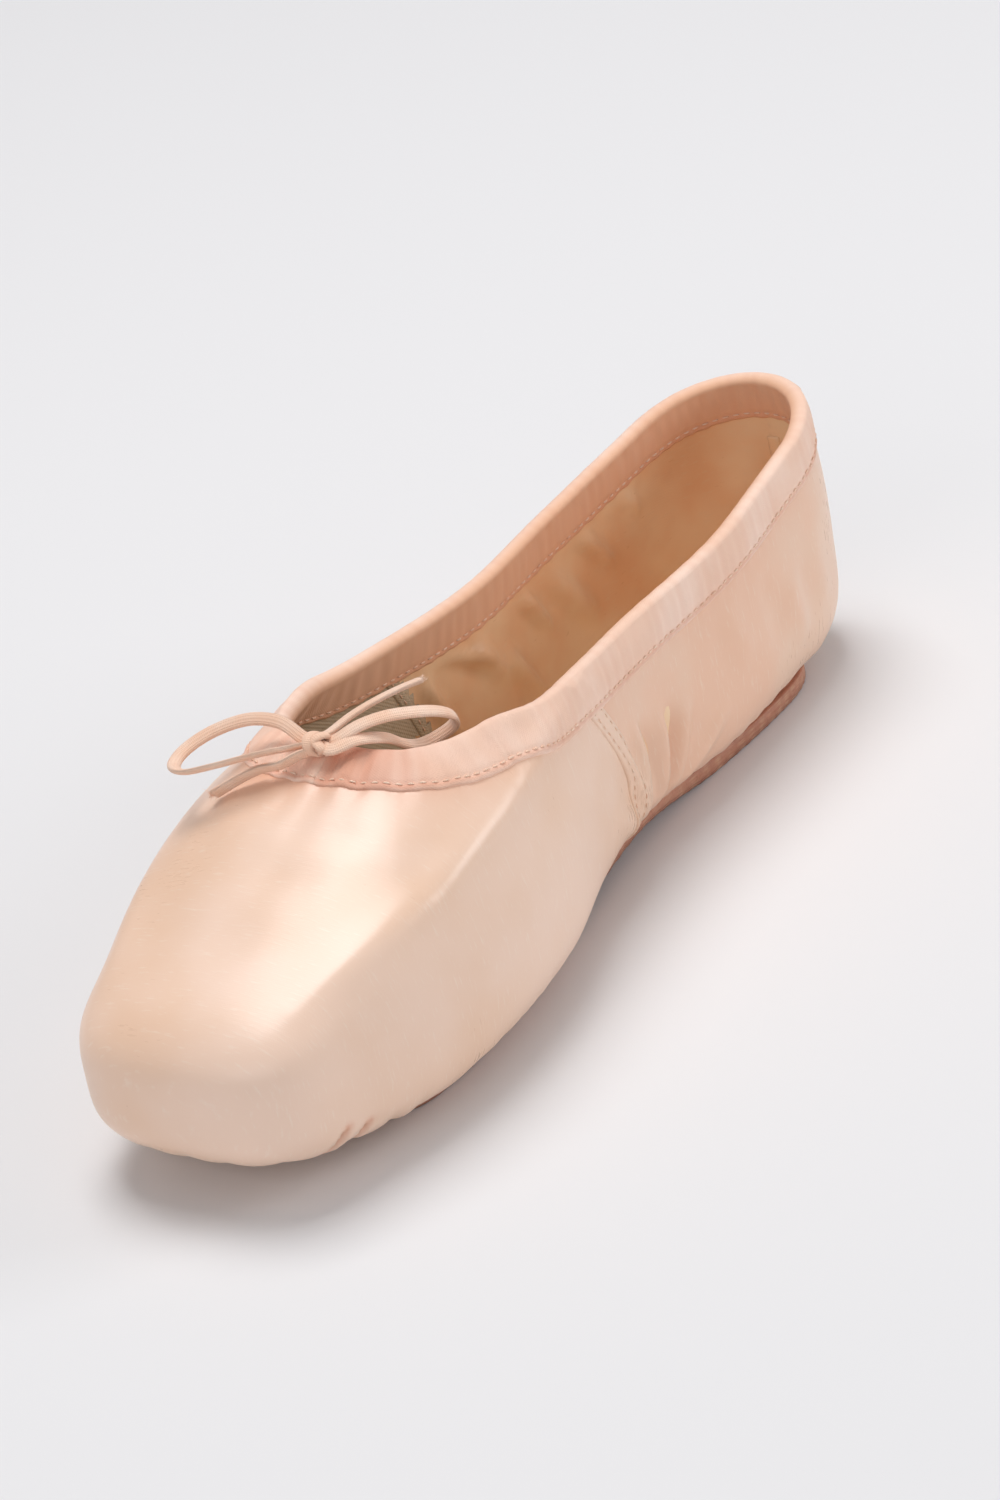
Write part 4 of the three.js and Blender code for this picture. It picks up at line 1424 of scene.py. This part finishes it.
def make_binding():
    """The tape's outside, fold and inside as one ring of columns for each step along the collar."""
    t = np.linspace(0, 1, BINDING_STEPS, endpoint=False)[:, None]
    depth = np.concatenate([np.linspace(9, 6.4, 10), np.linspace(5.6, 0.4, 6)]) * MM
    near = bell_at(from_throat(t), 24 * MM)
    wave = gathers(t, *MAIN_GATHERS)
    fine = gathers(t, 3.1 * MM, 4.0)
    inner_wave = gathers(t, 4.4 * MM, 2.0)

    waver = 0.07 * MM * (wave + near * fine)
    share = depth[None] / BINDING_WIDTH
    outer_hit, out = beside_collar(t, -depth[None] + waver * share)
    sway = np.sin(np.pi * np.clip(share, 0, 1) ** 0.7)
    height = tape_height(depth[None]) + satin_relief(outer_hit) * smooth(depth / (4 * MM))
    height = height + (0.1 + 0.12 * near) * MM * wave * sway + 0.14 * near * MM * fine * sway
    height = height + strips_below(outer_hit)
    outer = outer_hit + out * height[..., None]

    inner_hit, _ = beside_collar(t, -depth[None] + 0.2 * MM * inner_wave * share, True)
    inner_height = tape_height(depth[None]) + (0.22 + 0.2 * near) * MM * inner_wave * sway
    inner = inner_hit - out * inner_height[..., None]

    place, top_out, top_up = collar_at(t[:, 0])
    outer_edge = on_last(place, top_out, outwards(0))
    inner_edge = on_last(place, top_out, inwards(0))
    turn = np.linspace(0, math.pi, 11)[None, :, None]
    middle = ((outer_edge + inner_edge) / 2)[:, None]
    half = ((outer_edge - inner_edge) / 2 + top_out * TAPE_OUT)[:, None]
    rise = FOLD_RISE * (1 + 0.1 * wave * (0.4 + near))[..., None]
    fold = middle + half * np.cos(turn) + top_up[:, None] * rise * np.sin(turn)

    hem_out = outer_hit[:, :1] + out[:, :1] * (satin_relief(outer_hit[:, :1]) - 0.1 * MM)[..., None]
    hem_in = inner_hit[:, :1] + out[:, :1] * 0.1 * MM
    rings = np.concatenate([hem_out, outer, fold, inner[:, ::-1], hem_in], axis=1)
    cloth = cloth_grid(t[:, 0] * COLLAR_LENGTH, run_length(rings[0]))
    # Shade is painted into the tape's colour: on the side that faces in, along the stitch groove,
    # beside the knot and in the gathers.
    inside = smooth((np.arange(rings.shape[1]) - 20) / 5)[None]
    depths = np.concatenate([[9], depth / MM, np.zeros(fold.shape[1]), depth[::-1] / MM, [9]]) * MM
    stitch_shadow = bell_at(depths - STITCH_SHIFT - 0.5 * MM, 0.5 * MM)[None]
    knot_shadow = bell_at(t * COLLAR_LENGTH - 7 * MM, 9 * MM)
    tape_shade = 0.02 + 0.16 * np.abs(wave) + near * (0.1 + 0.16 * fine) + 0.75 * knot_shadow
    tape_shade = np.clip(tape_shade + 0.45 * stitch_shadow, 0, 1)
    shade_and_tone = np.stack(np.broadcast_arrays(tape_shade, inside, 0), -1)
    attributes = {"cloth": cloth, "shade_and_tone": shade_and_tone}
    piece = new_grid("binding_tape", rings, tape, attributes, ring=True, closed=True)
    hand_over(piece, "binding_tape", "collar_binding")


make_binding()

# %% [markdown]
# A stitch is a short thread that comes up through the cloth and goes down again. Each one here is
# a spindle of thirty points, laid along its row and set into the cloth at both ends. A whole row
# is one array and one mesh.


# %% Stitches
SPINDLE_RINGS, SPINDLE_SIDES = 5, 6
STITCH_ROW_POINTS = 800


def stitch_row(line, normal, pitch, length=1.7 * MM, width=0.38 * MM):
    """Spindles along a line: radius as the root of 1 - u^2, lifted in the middle as 1 - u^2."""
    run = run_length(line)
    count = max(1, int(run[-1] / pitch))
    at = (np.arange(count) + 0.5) * run[-1] / count
    slope = np.gradient(line, axis=0)
    centre, out, ahead = (
        np.stack([np.interp(at, run, rows[:, k]) for k in range(3)], -1)
        for rows in (line, normal, slope)
    )
    out, ahead = unit(out), unit(ahead)
    side = unit(np.cross(ahead, out))
    u = np.linspace(-1, 1, SPINDLE_RINGS)
    angle = np.linspace(0, 2 * math.pi, SPINDLE_SIDES, endpoint=False)
    radius = width / 2 * np.sqrt(1 - u**2)
    lift = width * 0.45 * (1 - u**2) - width * 0.2
    forward = ahead[:, None, None] * (u * length / 2)[None, :, None, None]
    sideways = side[:, None, None] * (radius[:, None] * np.cos(angle))[None, ..., None]
    rise = radius[:, None] * np.sin(angle) + lift[:, None]
    return centre[:, None, None] + forward + sideways + out[:, None, None] * rise[None, ..., None]


def make_stitches(name, rows, slot):
    """Rows of stitches as one piece."""
    spindles = np.concatenate(rows)
    one = grid_faces(SPINDLE_RINGS, SPINDLE_SIDES, ring=True)
    faces = repeated(one, SPINDLE_RINGS * SPINDLE_SIDES, len(spindles))
    hand_over(weld(new_object(name, spindles, faces, thread)), slot)


def binding_row(inside):
    """The row of stitches along the foot of the binding, outside or inside."""
    t = np.linspace(0, 1, STITCH_ROW_POINTS)
    hit, out = beside_collar(t, np.full(len(t), -STITCH_SHIFT), inside)
    ground = 0 * t if inside else satin_relief(hit) + strips_below(hit)
    height = tape_height(STITCH_SHIFT) + ground + 0.06 * MM
    way = -out if inside else out
    return stitch_row(hit + way * height[:, None], way, 2.3 * MM, width=0.42 * MM)


make_stitches("binding_stitches_outside", [binding_row(False)], "binding_tape")
make_stitches("binding_stitches_inside", [binding_row(True)], "binding_tape")

# %% [markdown]
# Narrow strips lie over the seams: a folded edge down each side seam, a stay up the back of the
# heel, and the same inside. A strip is a thin closed sheet: a grid of places on the last, with a
# top and an underside that meet all round its edge.


# %% Strips on the last
def surface_normals(points, inside):
    """Normals of a grid of places, pointing out of the last, or into it if inside."""
    normal = unit(np.cross(np.gradient(points, axis=0), np.gradient(points, axis=1)))
    middle = points * np.array([0, 1, 0]) + np.array([0, 0, 25 * MM])
    away = np.einsum("ijk,ijk->ij", normal, points - middle).sum()
    return normal * (1 if (away > 0) != inside else -1)


STRIP_DEPTH = 0.25 * MM  # how far a strip's underside lies in the cloth
STRIP_EDGE = 0.12 * MM  # and how far its edges do


def make_strip(name, points, across, height, material, slot, ground, inside=False):
    """A closed strip: height gives its top over the ground for across from -1 to 1."""
    normal = surface_normals(points, inside)
    top = height(across)[None] + ground
    low = ground - STRIP_DEPTH
    for edge in (np.s_[0], np.s_[-1], np.s_[:, 0], np.s_[:, -1]):
        top[edge] = ground[edge] - STRIP_EDGE
        low[edge] = top[edge]
    rows, columns = top.shape
    both = np.stack([points + normal * top[..., None], points + normal * low[..., None]])
    face = grid_faces(rows, columns)
    faces = np.concatenate([face, face[:, ::-1] + rows * columns])
    cloth = cloth_grid(run_length(points[:, columns // 2]), run_length(points[rows // 2]))
    attributes = {"cloth": np.stack([cloth, cloth]), "shade_and_tone": np.zeros((2, rows, columns, 3))}
    hand_over(weld(new_object(name, both, faces, material, attributes)), slot)
    return points + normal * top[..., None], normal


def seam_grid(side, half, grow, low, high, rows=90, columns=17):
    """Places beside the side seam: angles up the rib, half on either side of the seam line."""
    angle = np.radians(np.linspace(low, high, rows))[:, None]
    across = np.linspace(-1, 1, columns)
    s = np.full((rows, columns), 112 * MM)
    for _ in range(3):
        points = ray_points(s, 0.0, angle, grow)
        s = seam_place(points[..., 2]) + across[None] * half
    points = ray_points(s, 0.0, angle, grow)
    return points * np.array([side, 1, 1]), across


BAND_STITCHES = (-0.62, 0.42)  # where both rows of stitches run across the band


def band_height(across):
    """A folded band: a raised fold at its front edge and two shallow grooves for the stitches."""
    body = 0.34 * MM * (1 - np.abs(across) ** 8)
    fold = 0.12 * MM * bell_at(across - 0.8, 0.16)
    groove = 0.13 * MM * sum(bell_at(across - v, 0.16) for v in BAND_STITCHES)
    return body + fold - groove


for side, word in SIDES:
    points, across = seam_grid(side, 2.7 * MM, outwards(0), -66, 47)
    top, normal = make_strip(
        "side_seam_" + word, points, across, band_height, satin, "satin", satin_relief(points)
    )
    columns = [round((v + 1) / 2 * (len(across) - 1)) for v in BAND_STITCHES]
    rows = [stitch_row(top[3:-3, k], normal[3:-3, k], 2.4 * MM) for k in columns]
    make_stitches("side_seam_stitches_" + word, rows, "satin")

# %% [markdown]
# The heel stay is a straight strip of satin from under the heel to the binding, sewn down both its
# edges. Its places are found by casting from the middle of the heel, in planes along the shoe.


# %% The heel stay
def heel_grid(half, grow, low, high, rows=110, columns=33):
    """Places up the back of the heel: angles in the plane along the shoe, half either side."""
    angle = np.radians(np.linspace(low, high, rows))[:, None]
    across = np.linspace(-1, 1, columns)[None]
    heel_y = LENGTH / 2 - HEEL_END["centre"]
    base = np.stack(np.broadcast_arrays(across * half, heel_y, 25 * MM + 0 * angle), -1)
    way = np.stack(np.broadcast_arrays(0.0 * across, np.cos(angle), np.sin(angle)), -1)
    return on_last(base, way, grow, 0.0, REACH), across[0]


def stay_height(across):
    """A flat stay with turned edges, a little higher where the turning lies under it."""
    body = 0.36 * MM * (1 - np.abs(across) ** 20)
    turning = 0.14 * MM * smooth((np.abs(across) - 0.72) / 0.06)
    return body + turning - 0.16 * MM * bell_at(np.abs(across) - 0.84, 0.035)


points, across = heel_grid(9.4 * MM, outwards(0), -80, 47)
top, normal = make_strip(
    "heel_stay", points, across, stay_height, satin, "satin", satin_relief(points)
)
rows = [stitch_row(top[4:-4, k], normal[4:-4, k], 2.6 * MM, 1.9 * MM) for k in (3, -4)]
make_stitches("heel_stay_stitches", rows, "satin")

# %% [markdown]
# Inside, the vamp is lined with unbleached canvas and the quarters with thin sateen, which is
# longer than the wall it lies on and so falls into broad soft folds. Both are cast on the inner
# face of the wall, in front of and behind the seam line.


# %% The linings
LINING_THICKNESS = 0.35 * MM
LINING_STEP = 1.2 * MM
LINING_AROUND = 168
LINING_FOLDS = [
    (110, 42, 100, 20, 2.0, 1.2, -1),
    (104, 44, 86, 32, 2.0, 1.1, -1),
    (95, 45, 80, 22, 2.8, 1.2, -1),
    (84, 36, 70, 14, 2.4, 1.2, -1),
    (76, 44, 62, 26, 2.1, 1.2, -1),
    (64, 42, 46, 20, 3.0, 1.1, -1),
    (52, 46, 38, 28, 2.1, 1.1, -1),
    (38, 50, 27, 36, 2.6, 0.9, -1),
    (104, 26, 84, 13, 2.6, 0.9, -1),
    (104, 40, 92, 22, 2.8, 1.1, 1),
    (86, 42, 72, 22, 3.0, 1.1, 1),
    (68, 44, 56, 22, 3.0, 1.1, 1),
    (50, 44, 38, 26, 3.0, 0.9, 1),
]


def lining_relief(place):
    """How far the quarter lining stands into the shoe, in metres."""
    s, z = s_of(place), place[..., 2]
    relief = side_creases(place, LINING_FOLDS)
    slow = np.sin(s / (8 * MM) + 1.4 * np.sin(z / (9 * MM))) * np.sin(z / (11 * MM) + s / (17 * MM))
    above, _ = from_collar(place)
    return (1.5 * relief + 0.3 * MM * slow) * smooth((-above - 8.5 * MM) / (5 * MM))


def make_lining(name, material, slot, keep_rows, wanted, relief=None):
    """A lining: a sheet on the inner face of the wall, cut to its panel and pushed into its folds."""
    points, cloth = fan_grid(inwards(0), LINING_STEP, LINING_AROUND, keep_rows)
    piece = new_grid(name, points, material, {"cloth": cloth}, ring=True)
    cut_panel(piece, lambda s: SOLE_LEVEL + lift_at(s) + wall_at(s) + 1.5 * MM, wanted)
    place, normal = turn_faces(piece, inside=True)
    if relief:
        edge = smooth((place[:, 2] - 11 * MM) / (5 * MM))
        move_points(piece, place + normal * (relief(place) * edge)[:, None])
    thicken(piece, LINING_THICKNESS)
    hand_over(piece, slot)


make_lining("vamp_lining", canvas, "insole_canvas", vamp_rows, on_vamp)
make_lining("quarter_lining", sateen, "satin", quarter_rows, on_quarters, lining_relief)


def tape_rise(across):
    """A low rounded strip."""
    return 0.3 * MM * (1 - np.abs(across) ** 6)


def lining_ground(points):
    """How far the lining under a seam strip stands into the shoe."""
    return np.maximum(lining_relief(points), 0) + 0.05 * MM


for side, word in SIDES:
    points, across = seam_grid(side, 1.5 * MM, inwards(0), -38, 44, columns=9)
    top, normal = make_strip(
        "lining_seam_" + word, points, across, tape_rise, canvas, "insole_canvas",
        lining_ground(points), inside=True,
    )
    row = stitch_row(top[3:-3, 4], normal[3:-3, 4], 2.2 * MM)
    make_stitches("lining_seam_stitches_" + word, [row], "satin")

points, across = heel_grid(1.6 * MM, inwards(0), -38, 38, columns=9)
make_strip(
    "lining_back_seam", points, across, tape_rise, sateen, "satin", lining_ground(points), inside=True
)

# %% [markdown]
# The outsole is a spade of leather, cut to an outline and rounded at its edge. Its grid runs across
# the shoe from rim to rim, closest near the rim, and then back over the top. How far each point
# is from the outline decides how much its edge is rounded.


# %% The outsole
OUTLINE_EDGE_LOW = 0.8 * MM
OUTLINE_EDGE_HIGH = 0.45 * MM
OUTSOLE_ROWS, OUTSOLE_COLUMNS = 190, 56
MID_HEIGHT = 25 * MM  # a height inside the last from which its underside is cast


def outline_points(grow=0.0, count=700):
    """The sole's outline on one side, from back to front, drawn out by grow.

    Its places are at equal turns of a half circle, so they are close together at both ends.
    """
    turn = np.linspace(0, math.pi, count)
    back, front = OUTSOLE_BACK - grow, OUTSOLE_FRONT + grow
    s = (back + front) / 2 - (front - back) / 2 * np.cos(turn)
    return s, sole_half(s, -grow)


def from_outline(s, x, outline):
    """Distance of each place from the outline, seen from above."""
    flat = np.stack([s.ravel(), np.abs(x).ravel()], -1)
    line = np.stack(outline, -1)
    gap = np.linalg.norm(flat[:, None] - line[None], axis=-1).min(1)
    return gap.reshape(s.shape)


def edge_drop(distance, radius):
    """How far a rounded edge falls back from the flat: radius - sqrt(radius^2 - (radius - d)^2)."""
    short = radius - np.minimum(distance, radius)
    return radius - np.sqrt(radius**2 - short**2)


def across_sole(half, columns):
    """x of a grid over the sole from its half breadths, closest near the rim."""
    return half[:, None] * np.sin(np.linspace(-math.pi / 2, math.pi / 2, columns))[None]


def two_sided(s, x, low, high):
    """Rings round a sheet: across its underside and back over its top."""
    y = LENGTH / 2 - s
    return np.concatenate([np.stack([x, y, low], -1), np.stack([x, y, high], -1)[:, ::-1]], axis=1)


def underside(s, x, grow):
    """Height at which a line straight down from the last's middle leaves the grown last."""
    base = np.stack([x, LENGTH / 2 - s, np.full(s.shape, MID_HEIGHT)], -1)
    return on_last(base, np.array([0.0, 0.0, -1.0]), grow, 0.0, REACH)[..., 2]


def make_outsole():
    """The outsole: level below, up to the satin above, and rounded by its distance from the rim."""
    s, half = outline_points(0.0, OUTSOLE_ROWS)
    x = across_sole(half, OUTSOLE_COLUMNS)
    s = np.repeat(s[:, None], x.shape[1], 1)
    rim = from_outline(s, x, outline_points())
    under = underside(s, x, outwards(GAP))
    low = lift_at(s) + edge_drop(rim, OUTLINE_EDGE_LOW)
    high = np.minimum(SOLE_LEVEL + lift_at(s) + OUTSOLE_EDGE, under)
    high = high - edge_drop(rim, OUTLINE_EDGE_HIGH)
    bare = np.clip(1 - rim / (0.15 * MM), 0, 1)
    rims = np.concatenate([rim, rim[:, ::-1] + 20 * MM], axis=1)
    bares = np.concatenate([bare, bare[:, ::-1]], axis=1)
    attributes = {"rim": np.stack([rims, bares, 0 * rims], -1)}
    rings = two_sided(s, x, low, high)
    piece = new_grid("leather_outsole", rings, leather, attributes, ring=True)
    hand_over(piece, "outsole_leather", "outsole")


make_outsole()

# %% [markdown]
# The sock covers the stiff shank inside. It is canvas, glued down, and a little lower at its edge.
# It follows the sole's outline drawn out by a few millimetres, as far as the lining leaves room.


# %% The insole
INSOLE_SPREAD = 4 * MM
INSOLE_ROWS, INSOLE_COLUMNS = 150, 44


def make_insole():
    """The sock: from its level down to the lining, as broad as the lining leaves room for."""
    line, half = outline_points(INSOLE_SPREAD, INSOLE_ROWS)
    level = SOLE_LEVEL + lift_at(line) + wall_at(line) + GAP + INSOLE_THICKNESS
    base = np.stack([0 * line, LENGTH / 2 - line, level], -1)
    room = on_last(base, np.array([1.0, 0, 0]), inwards(GAP), 0.0, REACH)[:, 0]
    half = np.minimum(half, np.maximum(room - 0.1 * MM, 0))
    x = across_sole(half, INSOLE_COLUMNS)
    s, level = (np.repeat(rows[:, None], x.shape[1], 1) for rows in (line, level))
    rim = from_outline(s, x, (line, half))
    high = level - 0.35 * MM * np.exp(-rim / (1.2 * MM)) - edge_drop(rim, 0.6 * MM)
    low = np.minimum(underside(s, x, inwards(GAP)), high - 0.2 * MM)
    low = np.maximum(low, high - 2.4 * MM)
    rings = two_sided(s, x, low, high)
    cloth = rings[..., [1, 0, 2]] * np.array([1, 1, 0])
    piece = new_grid("insole_sock", rings, canvas, {"cloth": cloth}, ring=True)
    hand_over(piece, "insole_canvas", "insole")


make_insole()

# %% [markdown]
# The studio: a plain pale floor, a large soft lamp almost straight above the shoe and a little
# behind it, whose reflection lies along the edge of the vamp, weaker ones in front and at the side
# behind, and a pale sky that fills the shadows. One lamp alone would leave the near side flat.


# %% Floor and light
FLOOR_HALF = 3.0
LAMPS_AIM = (0, 0, 0.03)


def make_floor():
    """A plain floor that the shoe stands on, wide enough to fill the view."""
    paint = colour(233, 233, 235)
    f = Finish("floor_paint", Base_Color=paint, Roughness=0.6, Specular_IOR_Level=0.3)
    corners = FLOOR_HALF * np.array([[-1, -1, 0], [1, -1, 0], [1, 1, 0], [-1, 1, 0]])
    floor = new_object("floor", corners, np.array([[0, 1, 2, 3]]), f.material)
    print("made", floor.name)


def area_light(name, way, distance, size, power, shade=(1, 1, 1)):
    """A soft rectangular lamp, distance away along way, turned towards the shoe."""
    data = bpy.data.lights.new(name, "AREA")
    data.shape = "RECTANGLE"
    data.size, data.size_y = size
    data.energy = power
    data.color = shade
    lamp = bpy.data.objects.new(name, data)
    aim = Vector(way).normalized()
    lamp.location = Vector(LAMPS_AIM) + aim * distance
    lamp.rotation_euler = aim.to_track_quat("Z", "Y").to_euler()
    bpy.context.scene.collection.objects.link(lamp)
    print(name, power, "W")


make_floor()
area_light("key_above", (-0.2, 0.16, 0.97), 1.5, (0.7, 0.9), 14.5, (1, 0.98, 0.97))
area_light("fill_front", (0.2, -1.0, 0.55), 1.5, (1.2, 0.8), 4)
area_light("rim_behind", (0.8, 0.6, 0.42), 1.4, (0.7, 0.5), 5)
world = bpy.data.worlds.new("studio")
world.use_nodes = True
background = world.node_tree.nodes["Background"]
background.inputs["Color"].default_value = (0.92, 0.93, 0.95, 1)
background.inputs["Strength"].default_value = 0.35
bpy.context.scene.world = world
bpy.context.scene.view_settings.view_transform = "Standard"
